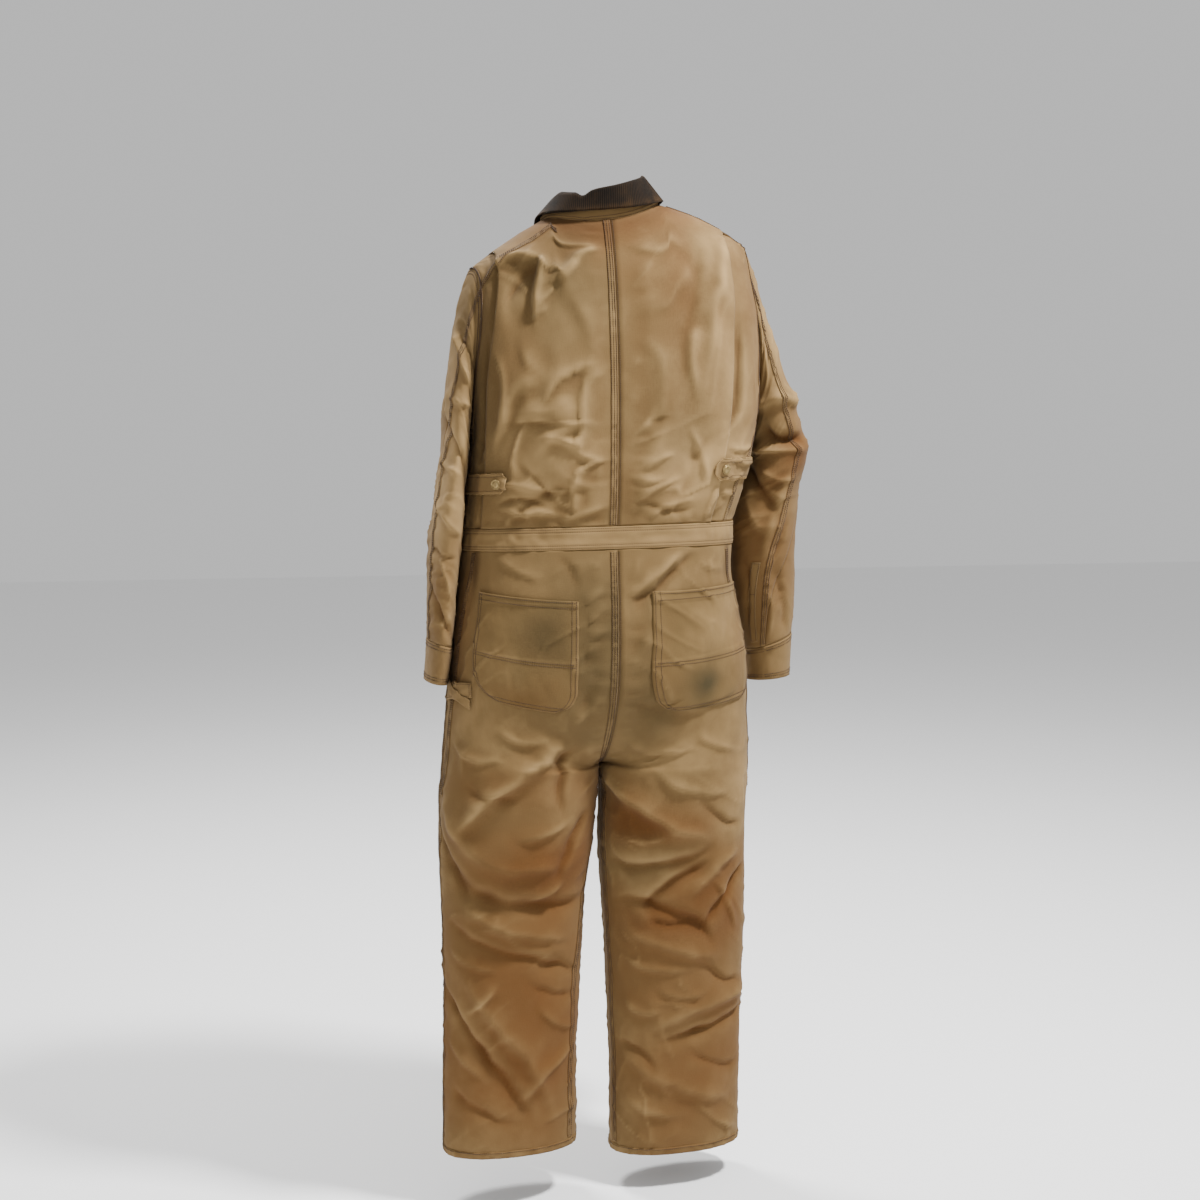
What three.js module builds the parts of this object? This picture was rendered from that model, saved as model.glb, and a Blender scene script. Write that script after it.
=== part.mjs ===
// Boiler suit in heavy cotton duck with a corduroy collar, hollow and filled out as if it were worn.
// Millimetres, +Z up, the front faces -Y and the wearer's left is +X.
// The origin lies between the shoulders, at the height of the neck seam.
import * as THREE from 'three';

// Cloth and seams
const CLOTH = 3.0;
const SEAM = 0.15;
const CUFF_CLOTH = 3.6;
const BAND_CLOTH = 4.8;
const BAND_PROUD = 1.6;

// Levels
const BAND_TOP = -523;
const BAND_LOW = -561;
const UNDERARM = -345;
const SHOULDER = -78;
const SEAT_TURN = -775;
const CROTCH = -935;
const HEM = { left: -1608, right: -1636 };
const NECK_HALF = 98;
const NECK_DROP = { back: 31, front: 52 };
const RIDGE_TOP = 22;
const RIDGE_FALL = 100;
const DOME = 2.5;

// Flat pattern sizes: across and along one panel
const TRUNK_FLAT = [300, 480];
const LEG_FLAT = [340, 1060];
const SLEEVE_FLAT = [200, 640];
const V_ARM = 0.42;
const ROWS_LOW = 6;
const ROWS_ARM = 9;
const NECK_COLUMNS = 5;
const V_CROTCH = 0.355;
const T_HEAD = 0.45;
const T_CUFF = 1.0;
const T_END = 1.12;

// z, left half width, right half width, back depth, front depth, squareness
const TRUNK = [
  [-561, 241, 231, 119, 116, 2.5],
  [-523, 238, 232, 116, 118, 2.5],
  [-480, 234, 246, 121, 122, 2.6],
  [-430, 229, 258, 124, 124, 2.8],
  [-380, 225, 267, 125, 124, 3.0],
  [-345, 224, 271, 125, 122, 3.2],
  [-200, 227, 272, 118, 118, 3.2],
  [-78, 224, 258, 112, 112, 3.0],
  [30, 224, 258, 112, 112, 3.0],
];

// height share above the underarm, left and right share of the width at the armhole
const ARMHOLE = [
  [0, 1, 1],
  [0.12, 0.992, 0.995],
  [0.3, 0.965, 0.985],
  [0.5, 0.95, 0.975],
  [0.7, 0.955, 0.975],
  [0.88, 0.975, 0.985],
  [1, 1, 1],
];

// z, slope of the hanging cloth towards the wearer's left
const TILT = [
  [-1700, 0],
  [-700, 0],
  [-530, -0.022],
  [-300, -0.06],
  [-80, -0.105],
  [0, -0.135],
  [60, -0.14],
];

// z, left outer, left inner, right outer, right inner, back depth, front depth
const LEGS = [
  [-1640, 281, 46, -256, -18, 59, 59],
  [-1484, 279, 46, -256, -18, 63, 63],
  [-1377, 277, 42, -258, -13, 68, 68],
  [-1270, 277, 36, -261, -9, 74, 74],
  [-1165, 280, 31, -262, -2, 82, 82],
  [-1060, 284, 18, -262, 3, 92, 92],
  [-990, 282, 10, -263, 0, 100, 99],
  [-935, 276, 6.5, -263, 5.5, 106, 104],
  [-829, 268, 3, -260, 3, 122, 113],
  [-759, 260, 1, -256, 1, 130, 118],
  [-690, 255, 0, -246, 0, 131, 121],
  [-640, 250, 0, -235, 0, 129, 120],
  [-600, 244, 0, -229, 0, 124, 118],
  [-561, 241, 0, -231, 0, 119, 116],
];

// share of the sleeve, z, centre x, centre y, half width, half depth, slope, twist, squareness
const SLEEVES = {
  left: [
    [0.45, -400, 251, 3, 20, 76, 0, 8, 2.4],
    [0.6, -480, 261, 3, 22, 78, 0, 8, 2.5],
    [0.75, -560, 269, 2, 24, 76, 0, 8, 2.5],
    [0.9, -640, 275.5, 1, 22.5, 70, 4, 8, 2.4],
    [1.0, -720, 279.5, 0, 20, 62, 16, 8, 2.3],
    [1.12, -786, 286, -2, 18, 54, 8, 8, 2.2],
  ],
  right: [
    [0.45, -400, -328, -14, 53, 70, 14, 10, 2.2],
    [0.6, -480, -308, -24, 57, 70, 4, 27, 2.2],
    [0.75, -570, -303, -32, 59, 68, 0, 60, 2.2],
    [0.9, -655, -311, -38, 57, 60, 6, 95, 2.1],
    [1.0, -736, -321, -40, 45, 52, 20, 118, 2.1],
    [1.12, -803, -322, -42, 40, 46, 6, 122, 2.1],
  ],
};

// Folds on the flat panels: start across, start along, end across, end along, bow, width, height.
// Across counts from the side seam, with the back positive and the front negative.
const TRUNK_FOLDS = {
  left: [
    [84, 380, 218, 342, 19, 16, 12],
    [132, 315, 205, 341, 11, 17, -13],
    [209, 348, 195, 290, 0, 14, 8],
    [290, 363, 230, 308, 1, 20, 7],
    [115, 159, 211, 222, 27, 16, 8],
    [196, 138, 276, 198, 9, 20, 6],
    [170, 16, 270, 69, 18, 18, -5],
    [244, 262, 249, 88, -10, 42, 5],
    [76, 278, 59, 132, 2, 14, -5],
    [-60, 300, -190, 170, 16, 18, 7],
    [-80, 90, -240, 50, -12, 16, 6],
    [-170, 330, -240, 200, 12, 24, 6],
    [-110, 210, -250, 130, 14, 16, -6],
  ],
  right: [
    [142, 393, 216, 207, 1, 18, 8],
    [198, 356, 244, 219, -1, 20, -7],
    [254, 207, 290, 38, 0, 22, 6],
    [281, 332, 286, 208, -8, 34, 4],
    [205, 153, 241, 22, 0, 18, -6],
    [139, 267, 160, 178, -9, 14, -5],
    [-70, 270, -220, 190, -14, 18, 7],
    [-60, 130, -230, 80, 14, 18, 6],
    [-150, 350, -250, 230, -10, 22, 6],
    [-90, 60, -200, 30, 8, 14, -5],
  ],
};

const LEG_FOLDS = {
  left: [
    [327, 126, 314, 237, 5, 18, -5],
    [255, 287, 79, 469, 9, 17, 12],
    [0, 469, 272, 610, 53, 20, -10],
    [33, 419, 242, 538, 48, 26, 7],
    [262, 452, 214, 555, 1, 15, -7],
    [78, 605, 234, 672, 8, 15, 6],
    [50, 644, 268, 732, 7, 15, -7],
    [10, 759, 181, 976, -18, 15, -9],
    [88, 747, 227, 976, -11, 20, 6],
    [173, 961, 273, 876, -11, 15, 5],
    [-260, 250, -90, 330, 14, 18, 7],
    [-60, 440, -240, 520, -14, 18, 8],
    [-40, 600, -230, 670, 16, 15, -8],
    [-50, 660, -220, 730, 14, 16, 7],
    [-240, 840, -80, 930, 10, 15, 6],
    [-40, 990, -180, 940, 8, 15, -5],
  ],
  right: [
    [307, 118, 340, 202, -4, 15, 5],
    [317, 17, 329, 197, -5, 22, -4],
    [306, 389, 154, 495, -2, 18, 12],
    [290, 540, 146, 522, -17, 15, -10],
    [139, 538, 224, 613, -1, 15, -8],
    [86, 525, 166, 605, -11, 15, 6],
    [273, 605, 136, 679, 26, 15, -8],
    [259, 659, 132, 707, -3, 18, 6],
    [27, 780, 212, 826, -10, 15, 6],
    [241, 889, 95, 969, -12, 22, 5],
    [339, 209, 211, 252, -5, 15, -4],
    [-270, 230, -100, 300, -12, 18, 7],
    [-50, 430, -250, 500, 16, 18, 8],
    [-60, 570, -240, 620, -14, 15, -8],
    [-50, 630, -230, 690, -14, 16, 7],
    [-230, 800, -70, 900, -12, 15, 6],
    [-50, 950, -210, 1000, 10, 15, -5],
  ],
};

// Sleeve folds count across from the long seam, with the back positive.
const SLEEVE_FOLDS = {
  left: [
    [14, 112, 117, 155, 13, 14, 5],
    [-9, 244, 129, 325, -7, 14, -5],
    [-9, 385, 127, 455, 1, 14, 4],
    [-140, 260, -40, 300, 8, 14, -5],
    [-150, 420, -40, 470, -8, 14, 4],
  ],
  right: [
    [169, 146, 23, 228, -5, 14, 9],
    [156, 197, 32, 271, -21, 14, -12],
    [183, 237, 60, 291, -10, 14, 6],
    [74, 327, 38, 502, -7, 16, 6],
    [13, 522, -58, 634, -1, 14, -5],
    [-60, 200, -150, 250, 10, 14, -7],
    [-70, 320, -150, 420, -10, 14, 6],
  ],
};

// height share, across share of the pleat edge on the left and on the right
const PLEAT = [
  [0, 0.69, 0.46],
  [0.12, 0.7, 0.45],
  [0.42, 0.715, 0.46],
  [0.6, 0.655, 0.5],
  [0.8, 0.61, 0.54],
  [1, 0.6, 0.57],
];
const PLEAT_UNDER = 0.07;
const PLEAT_LIFT = 3.0;
const PLEAT_SINK = 3.2;

// angle round the neck from centre back, height of the top, height and reach of the lower edge
const COLLAR = [
  [-180, 34, -44, 20],
  [-150, 38, -4, 20],
  [-120, 41, 4, 14],
  [-90, 44, 5, 11],
  [-60, 52, 8, 11],
  [-25, 58, 13, 11],
  [0, 54, 15, 11],
  [18, 49, 15, 11],
  [27, 41, 14, 12],
  [36, 46, 12, 12],
  [60, 46, 8, 12],
  [90, 42, 5, 12],
  [120, 41, 4, 14],
  [150, 38, -4, 20],
  [180, 34, -44, 20],
];
const STAND_DROP = 22;
const COLLAR_LEAN = 0.8;

// height share down the leg, outer edge, inner edge (shares across the panel)
const POCKETS = {
  left: [
    [0.062, 0.33, 0.875],
    [0.11, 0.328, 0.878],
    [0.185, 0.33, 0.88],
    [0.2, 0.372, 0.866],
    [0.21, 0.44, 0.83],
    [0.216, 0.52, 0.78],
  ],
  right: [
    [0.058, 0.2, 0.885],
    [0.11, 0.18, 0.895],
    [0.19, 0.17, 0.89],
    [0.206, 0.2, 0.86],
    [0.216, 0.25, 0.81],
    [0.221, 0.33, 0.74],
  ],
};

// across share, height share, tip width share
const TABS = {
  left: { from: 0.96, to: 0.51, v: 0.178, half: 0.04, button: 0.575 },
  right: { from: 0.95, to: 0.385, v: 0.205, half: 0.04, button: 0.46 },
};
const SLIT = { depth: 0.075, open: 5.5 };
const SLIDER_PROUD = 0.3;
const ZIP_GAP = 5;
const ZIP_END = -742;

// Faded duck, worn duck, corduroy and metal
const DUCK = 0x9a7b52;
const DUCK_LIGHT = 0xa98c60;
const DUCK_WORN = 0x8a7450;
const CORD = 0x3a2c20;
const BRASS = 0x8c7a55;

const group = new THREE.Group();
group.name = 'boiler_suit';

const clamp = (x, low, high) => Math.min(high, Math.max(low, x));
const ease = (x) => {
  const t = clamp(x, 0, 1);
  return t * t * (3 - 2 * t);
};
const power = (x, e) => Math.sign(x) * Math.abs(x) ** e;
const RIGHT_ANGLE = Math.PI / 2;
const sign = (side) => (side === 'left' ? 1 : -1);

// Smooth curve through the rows of a table, read at x in its first column.
function read(rows, column, x) {
  const count = rows.length;
  const at = clamp(x, rows[0][0], rows[count - 1][0]);
  let i = 0;
  while (i < count - 2 && at >= rows[i + 1][0]) {
    i += 1;
  }
  const slope = (k) => (rows[k + 1][column] - rows[k][column]) / (rows[k + 1][0] - rows[k][0]);
  const tangent = (k) => {
    if (k === 0) {
      return slope(0);
    }
    if (k === count - 1) {
      return slope(count - 2);
    }
    return slope(k) * slope(k - 1) > 0 ? (slope(k) + slope(k - 1)) / 2 : 0;
  };
  const h = rows[i + 1][0] - rows[i][0];
  const t = (at - rows[i][0]) / h;
  const t2 = t * t;
  const t3 = t2 * t;
  return rows[i][column] * (2 * t3 - 3 * t2 + 1) + h * tangent(i) * (t3 - 2 * t2 + t)
    + rows[i + 1][column] * (3 * t2 - 2 * t3) + h * tangent(i + 1) * (t3 - t2);
}

// Height of all the folds at one place of a flat panel.
function relief(folds, across, along) {
  let height = 0;
  for (const [x0, y0, x1, y1, bow, width, depth] of folds) {
    const dx = x1 - x0;
    const dy = y1 - y0;
    const length = Math.hypot(dx, dy);
    const t = ((across - x0) * dx + (along - y0) * dy) / (length * length);
    if (t > -0.15 && t < 1.15) {
      const off = ((along - y0) * dx - (across - x0) * dy) / length - 4 * bow * t * (1 - t);
      const fade = ease((t + 0.15) / 0.4) * ease((1.15 - t) / 0.4);
      height += depth * fade * Math.exp(-((off / width) ** 2));
    }
  }
  return height;
}

const lean = (p) => {
  p.z += read(TILT, 1, p.z) * p.x;
  return p;
};

// Trunk surface: u runs from the centre to the side, v from the waistband to the shoulder.
function trunkPoint(side, face, u, v) {
  const half = side === 'left' ? 1 : 2;
  const depth = face > 0 ? 3 : 4;
  const share = Math.sin(clamp(u, 0, 1) * RIGHT_ANGLE) ** (2 / 2.6);
  const w = clamp((v - V_ARM) / (1 - V_ARM), 0, 1);
  let width;
  let x;
  let z;
  let level;
  let round = 1;
  if (w > 0) {
    const atShoulder = read(TRUNK, half, SHOULDER);
    const neck = clamp((atShoulder * share) / NECK_HALF, 0, 1);
    const drop = (face > 0 ? NECK_DROP.back : NECK_DROP.front) * (Math.PI / 180);
    const angle = w * RIGHT_ANGLE - w ** 1.5 * drop * Math.sqrt(1 - neck * neck);
    const rise = Math.sin(angle) ** (2 / DOME);
    level = UNDERARM + (SHOULDER - UNDERARM) * rise;
    width = read(TRUNK, half, level);
    x = width * read(ARMHOLE, half, w) * share;
    const ridge = RIDGE_TOP - RIDGE_FALL * (x / atShoulder) ** 1.75;
    z = UNDERARM + (ridge - UNDERARM) * rise;
    round = clamp(Math.cos(angle), 0, 1) ** (2 / DOME);
  } else {
    level = BAND_TOP + (UNDERARM - BAND_TOP) * (v / V_ARM);
    z = level;
    width = read(TRUNK, half, level);
    x = width * share;
  }
  const square = read(TRUNK, 5, level);
  const y = read(TRUNK, depth, level) * clamp(1 - (x / width) ** square, 0, 1) ** (1 / square) * round;
  return lean(new THREE.Vector3(sign(side) * x, face * y, z));
}

// Leg surface: u runs from the side seam to the seat seam or inseam, v from the waistband to the hem.
function legPoint(side, face, u, v) {
  const outer = side === 'left' ? 1 : 3;
  const depth = face > 0 ? 5 : 6;
  const level = BAND_LOW + (HEM[side] - BAND_LOW) * v;
  const seatDepth = read(LEGS, depth, SEAT_TURN);
  const straight = BAND_LOW - SEAT_TURN;
  const arc = RIGHT_ANGLE * Math.sqrt((seatDepth ** 2 + (SEAT_TURN - CROTCH) ** 2) / 2);
  const run = clamp(v / V_CROTCH, 0, 1) * (straight + arc);
  let seam;
  let hip;
  if (v > V_CROTCH) {
    seam = CROTCH + ((HEM[side] - CROTCH) * (v - V_CROTCH)) / (1 - V_CROTCH);
    hip = 0;
  } else if (run > straight) {
    const angle = ((run - straight) / arc) * RIGHT_ANGLE;
    seam = SEAT_TURN + (CROTCH - SEAT_TURN) * Math.sin(angle);
    hip = Math.cos(angle);
  } else {
    seam = BAND_LOW - run;
    hip = 1;
  }
  const z = level + (seam - level) * ease(u);
  const inner = read(LEGS, outer + 1, seam);
  const b = read(LEGS, depth, v > V_CROTCH ? z : level);
  const turn = clamp(u, 0, 1) * RIGHT_ANGLE;
  const shareX = hip * Math.max(Math.cos(turn), 0) ** 0.8
    + (1 - hip) * (1 + power(Math.cos(2 * turn), 2 / 2.3)) / 2;
  const shareY = hip * Math.sin(turn) ** 0.8 + (1 - hip) * Math.abs(Math.sin(2 * turn)) ** (2 / 2.3);
  return lean(new THREE.Vector3(inner + (read(LEGS, outer, level) - inner) * shareX, face * b * shareY, z));
}

// Sleeve ring: the angle starts at the long seam and passes the back, the underarm and the front.
function ringPoint(side, angle, t) {
  const rows = SLEEVES[side];
  const a = read(rows, 4, t);
  const slope = read(rows, 6, t) * (Math.PI / 180);
  const phase = angle + read(rows, 7, t) * (Math.PI / 180);
  const square = 2 / read(rows, 8, t);
  const out = a * power(Math.cos(phase), square);
  return new THREE.Vector3(
    read(rows, 2, t) + sign(side) * out * Math.cos(slope),
    read(rows, 3, t) + read(rows, 5, t) * power(Math.sin(phase), square),
    read(rows, 1, t) + out * Math.sin(slope),
  );
}

function armholePoint(side, angle) {
  const turn = ((angle % (2 * Math.PI)) + 2 * Math.PI) % (2 * Math.PI);
  const face = turn <= Math.PI ? 1 : -1;
  const w = face > 0 ? 1 - turn / Math.PI : turn / Math.PI - 1;
  return trunkPoint(side, face, 1, V_ARM + w * (1 - V_ARM));
}

// Sleeve surface: below T_HEAD it eases from the armhole into the rings.
function sleevePoint(side, angle, t) {
  if (t >= T_HEAD) {
    return ringPoint(side, angle, t);
  }
  const s = sign(side);
  const q = clamp(t / T_HEAD, 0, 1);
  const under = (1 - Math.cos(angle)) / 2;
  const reach = side === 'left' ? 0.42 : 0.38;
  const first = 250 * (1 - under) + 40 * under;
  const start = new THREE.Vector3(s * (reach - (reach - 0.2) * under), 0, -(0.85 + 0.1 * under));
  const last = 330 * (1 - under) + 50 * under;
  const swing = (side === 'left' ? 0.06 : 0.42) * (1 - under);
  const end = new THREE.Vector3(s * swing, 0, -Math.sqrt(1 - swing * swing));
  const q2 = q * q;
  const q3 = q2 * q;
  return armholePoint(side, angle)
    .addScaledVector(start, 4 * SEAM / start.length() * (1 - q))
    .multiplyScalar(2 * q3 - 3 * q2 + 1)
    .addScaledVector(start, first * (q3 - 2 * q2 + q))
    .addScaledVector(ringPoint(side, angle, T_HEAD), 3 * q2 - 2 * q3)
    .addScaledVector(end, last * (q3 - q2));
}

// Outward direction of a surface; turn is 1 or -1, by how its two directions run.
function outward(surface, u, v, range, turn) {
  const step = 0.004;
  const [[uLow, uHigh], [vLow, vHigh]] = range;
  const inU = clamp(u, uLow + step, uHigh - step);
  const inV = clamp(v, vLow + step, vHigh - step);
  const across = surface(inU + step, inV).sub(surface(inU - step, inV));
  const along = surface(inU, inV + step).sub(surface(inU, inV - step));
  return across.cross(along).normalize().multiplyScalar(turn);
}

// The three kinds of panel with their folds, as point, outward direction and skin moved out by off.
function makePanel(base, range, turn, height) {
  const folded = (u, v) => base(u, v).addScaledVector(outward(base, u, v, range, turn), height(u, v));
  const onSeam = (u) => (Math.abs(u - Math.round(u)) < 0.01 ? Math.round(u) : u);
  const normal = (u, v) => outward(folded, onSeam(u), v, range, turn);
  const skin = (u, v, off) => folded(u, v).addScaledVector(normal(u, v), off);
  return { folded, normal, skin };
}

function trunkPanel(side, face) {
  const base = (u, v) => {
    const p = trunkPoint(side, face, u, v);
    const gap = face < 0 ? ZIP_GAP : SEAM;
    p.x += sign(side) * gap * clamp(1 - Math.abs(p.x) / 120, 0, 1);
    p.y += face * SEAM;
    return p;
  };
  const height = (u, v) => {
    const edge = ease(u * TRUNK_FLAT[0] / 28) * ease(v / 0.05) * ease((1 - v) / 0.06);
    const sideSeam = Math.max(ease((V_ARM - v) / 0.08), ease((1 - u) / 0.07));
    return edge * sideSeam * relief(TRUNK_FOLDS[side], face * (1 - u) * TRUNK_FLAT[0], v * TRUNK_FLAT[1]);
  };
  return makePanel(base, [[0, 1], [0, 1]], -sign(side) * face, height);
}

function legPanel(side, face) {
  const base = (u, v) => {
    const p = legPoint(side, face, u, v);
    const open = face < 0 ? 1 - ease((ZIP_END + 10 - p.z) / 20) : 0;
    const gap = SEAM + (ZIP_GAP - SEAM) * open;
    const slit = SLIT.open * ease((SLIT.depth - v) / 0.03) * ease(v / 0.012) * (1 - ease(u / 0.09));
    p.x += sign(side) * gap * clamp(1 - Math.abs(p.x) / 120, 0, 1);
    p.y += face * (SEAM + slit);
    return p;
  };
  const height = (u, v) => {
    const edge = ease((1 - u) * LEG_FLAT[0] / 30) * ease(v / 0.02) * ease((1 - v) / 0.03);
    return edge * relief(LEG_FOLDS[side], face * u * LEG_FLAT[0], v * LEG_FLAT[1]);
  };
  return makePanel(base, [[0, 1], [0, 1]], -sign(side) * face, height);
}

function sleevePanel(side) {
  const base = (u, v) => sleevePoint(side, u * Math.PI, v);
  const height = (u, v) => {
    const across = (u > 1 ? u - 2 : u) * SLEEVE_FLAT[0];
    const wrap = u > 1 ? u : u - 2;
    const along = v * SLEEVE_FLAT[1];
    const edge = ease(v / 0.06) * ease((T_CUFF - v) / 0.05);
    return edge * (relief(SLEEVE_FOLDS[side], across, along)
      + relief(SLEEVE_FOLDS[side], wrap * SLEEVE_FLAT[0], along));
  };
  return makePanel(base, [[-1, 3], [0, T_END]], -sign(side), height);
}

// A closed wall from its outer points and the direction in which it is thick.
function wall(name, colour, columns, rows, outer, inner, options = {}) {
  const closed = options.closed || false;
  const points = [];
  const across = closed ? columns : columns + 1;
  for (const layer of [outer, inner]) {
    for (let j = 0; j <= rows; j += 1) {
      for (let i = 0; i < across; i += 1) {
        points.push(layer(i / columns, j / rows));
      }
    }
  }
  const size = across * (rows + 1);
  const at = (i, j, layer) => layer * size + j * across + (i % across);
  const faces = [];
  const quad = (a, b, c, d) => {
    faces.push(a, b, c, a, c, d);
  };
  for (let j = 0; j < rows; j += 1) {
    for (let i = 0; i < columns; i += 1) {
      quad(at(i, j, 0), at(i + 1, j, 0), at(i + 1, j + 1, 0), at(i, j + 1, 0));
      quad(at(i, j, 1), at(i, j + 1, 1), at(i + 1, j + 1, 1), at(i + 1, j, 1));
    }
  }
  for (let i = 0; i < columns; i += 1) {
    quad(at(i, 0, 0), at(i, 0, 1), at(i + 1, 0, 1), at(i + 1, 0, 0));
    quad(at(i, rows, 0), at(i + 1, rows, 0), at(i + 1, rows, 1), at(i, rows, 1));
  }
  if (!closed) {
    for (let j = 0; j < rows; j += 1) {
      quad(at(0, j, 0), at(0, j + 1, 0), at(0, j + 1, 1), at(0, j, 1));
      quad(at(columns, j, 0), at(columns, j, 1), at(columns, j + 1, 1), at(columns, j + 1, 0));
    }
  }
  return solid(name, colour, points, faces, options);
}

function solid(name, colour, points, faces, options = {}) {
  let volume = 0;
  const cross = new THREE.Vector3();
  for (let k = 0; k < faces.length; k += 3) {
    cross.crossVectors(points[faces[k + 1]], points[faces[k + 2]]);
    volume += points[faces[k]].dot(cross);
  }
  if (volume < 0) {
    faces.reverse();
  }
  const geometry = new THREE.BufferGeometry();
  const values = points.flatMap((p) => [p.x, p.y, p.z]);
  geometry.setAttribute('position', new THREE.Float32BufferAttribute(values, 3));
  geometry.setIndex(faces);
  geometry.computeVertexNormals();
  const material = new THREE.MeshStandardMaterial({
    color: colour,
    roughness: options.roughness ?? 0.9,
    metalness: options.metalness ?? 0,
  });
  const mesh = new THREE.Mesh(geometry, material);
  mesh.name = name;
  group.add(mesh);
  return mesh;
}

// A wall on a panel, lifted by off(u, v) and thick along depth(u, v).
function panelWall(
  name, colour, panel, columns, rows, place, off = () => 0, thick = CLOTH, depth = panel.normal,
) {
  const outer = (a, b) => {
    const [u, v] = place(a, b);
    return panel.skin(u, v, off(u, v));
  };
  const inner = (a, b) => {
    const [u, v] = place(a, b);
    return panel.skin(u, v, off(u, v)).addScaledVector(depth(u, v), -thick);
  };
  wall(name, colour, columns, rows, outer, inner);
}

const mix = (a, b, t) => a + (b - a) * t;
const trunk = {};
const leg = {};
const sleeve = {};
for (const side of ['left', 'right']) {
  trunk[side] = { back: trunkPanel(side, 1), front: trunkPanel(side, -1) };
  leg[side] = { back: legPanel(side, 1), front: legPanel(side, -1) };
  sleeve[side] = sleevePanel(side);
}

// Share across the trunk at a distance from the centre, and rows and columns that the pieces share
const shareAt = (side, x) => {
  const share = x / read(TRUNK, side === 'left' ? 1 : 2, SHOULDER);
  return Math.asin(share ** 1.3) / RIGHT_ANGLE;
};
const neckShare = (side, k) => shareAt(side, NECK_HALF * Math.sin((k / NECK_COLUMNS) * RIGHT_ANGLE));
const trunkRows = ROWS_LOW + ROWS_ARM;
const trunkRow = (b) => {
  const k = b * trunkRows;
  return k < ROWS_LOW ? (k / ROWS_LOW) * V_ARM : V_ARM + ((k - ROWS_LOW) / ROWS_ARM) * (1 - V_ARM);
};
const trunkColumn = (side, a, columns, last) => {
  const k = a * columns;
  const neck = neckShare(side, NECK_COLUMNS);
  return k <= NECK_COLUMNS
    ? neckShare(side, k)
    : mix(neck, last, (k - NECK_COLUMNS) / (columns - NECK_COLUMNS));
};
const pleatEdge = (side, v) => read(PLEAT, side === 'left' ? 1 : 2, v);
const pleatOpen = (v) => 0.15 + 0.85 * ease(v / 0.2) * ease((0.92 - v) / 0.25);
const bandGap = (v) => clamp(v, 0.0008, 1);

// At the armhole the trunk and the sleeve are mitred, except under the arm, where the cloth folds back.
const mitre = (own, other) => {
  const share = ease((own.dot(other) + 0.2) / 0.5);
  return own.clone().addScaledVector(other, share).normalize();
};
const trunkEdge = (side, face, v) => {
  const n = trunk[side][face > 0 ? 'back' : 'front'].normal(1, v);
  return v > 0.998 ? n.setY(0).normalize() : n;
};
const trunkDepth = (side, face) => (u, v) => {
  const w = (v - V_ARM) / (1 - V_ARM);
  return u > 0.999 && w > 0
    ? mitre(trunkEdge(side, face, v), sleeve[side].normal(1 - face * w, 0))
    : trunk[side][face > 0 ? 'back' : 'front'].normal(u, v);
};
const sleeveDepth = (side) => (u, v) => {
  const own = sleeve[side].normal(u, v);
  const w = Math.abs(1 - u);
  return v > 0.001 ? own : mitre(own, trunkEdge(side, u <= 1 ? 1 : -1, V_ARM + w * (1 - V_ARM)));
};

for (const side of ['left', 'right']) {
  // Back with its pleat edge lying over the side strip
  panelWall(`back_${side}`, DUCK, trunk[side].back, 10, trunkRows, (a, b) => {
    const v = bandGap(trunkRow(b));
    return [trunkColumn(side, a, 10, pleatEdge(side, v)), v];
  }, (u, v) => (1.6 + PLEAT_LIFT * pleatOpen(v)) * ease((u - pleatEdge(side, v) + 0.2) / 0.2));
  panelWall(`back_side_${side}`, DUCK, trunk[side].back, 5, trunkRows, (a, b) => {
    const v = bandGap(trunkRow(b));
    return [mix(pleatEdge(side, v) - PLEAT_UNDER, 1, a ** 0.9), v];
  }, (u, v) => -PLEAT_SINK * (1 - ease((u - pleatEdge(side, v) - 0.01) / 0.09)), CLOTH, trunkDepth(side, 1));
  panelWall(`front_${side}`, DUCK, trunk[side].front, 11, trunkRows, (a, b) => [
    trunkColumn(side, a, 11, 1), bandGap(trunkRow(b))], () => 0, CLOTH, trunkDepth(side, -1));

  // Legs: rows follow the seat curve and then the inseam
  panelWall(`leg_back_${side}`, DUCK, leg[side].back, 10, 26, (a, b) => [a, bandGap(b)]);
  panelWall(`leg_front_${side}`, DUCK, leg[side].front, 7, 26, (a, b) => [a, bandGap(b)]);

  // Sleeve halves meet in one long seam from the shoulder to the cuff and in the underarm seam
  const slack = 0.0007;
  const end = T_CUFF - 0.0004;
  panelWall(`sleeve_back_${side}`, DUCK_LIGHT, sleeve[side], ROWS_ARM, 17, (a, b) => [
    mix(slack, 1 - slack, a), mix(0, end, b ** 1.1)], () => 0, CLOTH, sleeveDepth(side));
  panelWall(`sleeve_front_${side}`, DUCK_LIGHT, sleeve[side], ROWS_ARM, 17, (a, b) => [
    mix(1 + slack, 2 - slack, a), mix(0, end, b ** 1.1)], () => 0, CLOTH, sleeveDepth(side));
  const cuff = (off) => (a, b) => sleeve[side].skin(a * 2, mix(T_CUFF + 0.0004, T_END, b), off);
  wall(`cuff_${side}`, DUCK_LIGHT, 2 * ROWS_ARM, 2, cuff(0.6), cuff(0.6 - CUFF_CLOTH), { closed: true });
}

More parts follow.
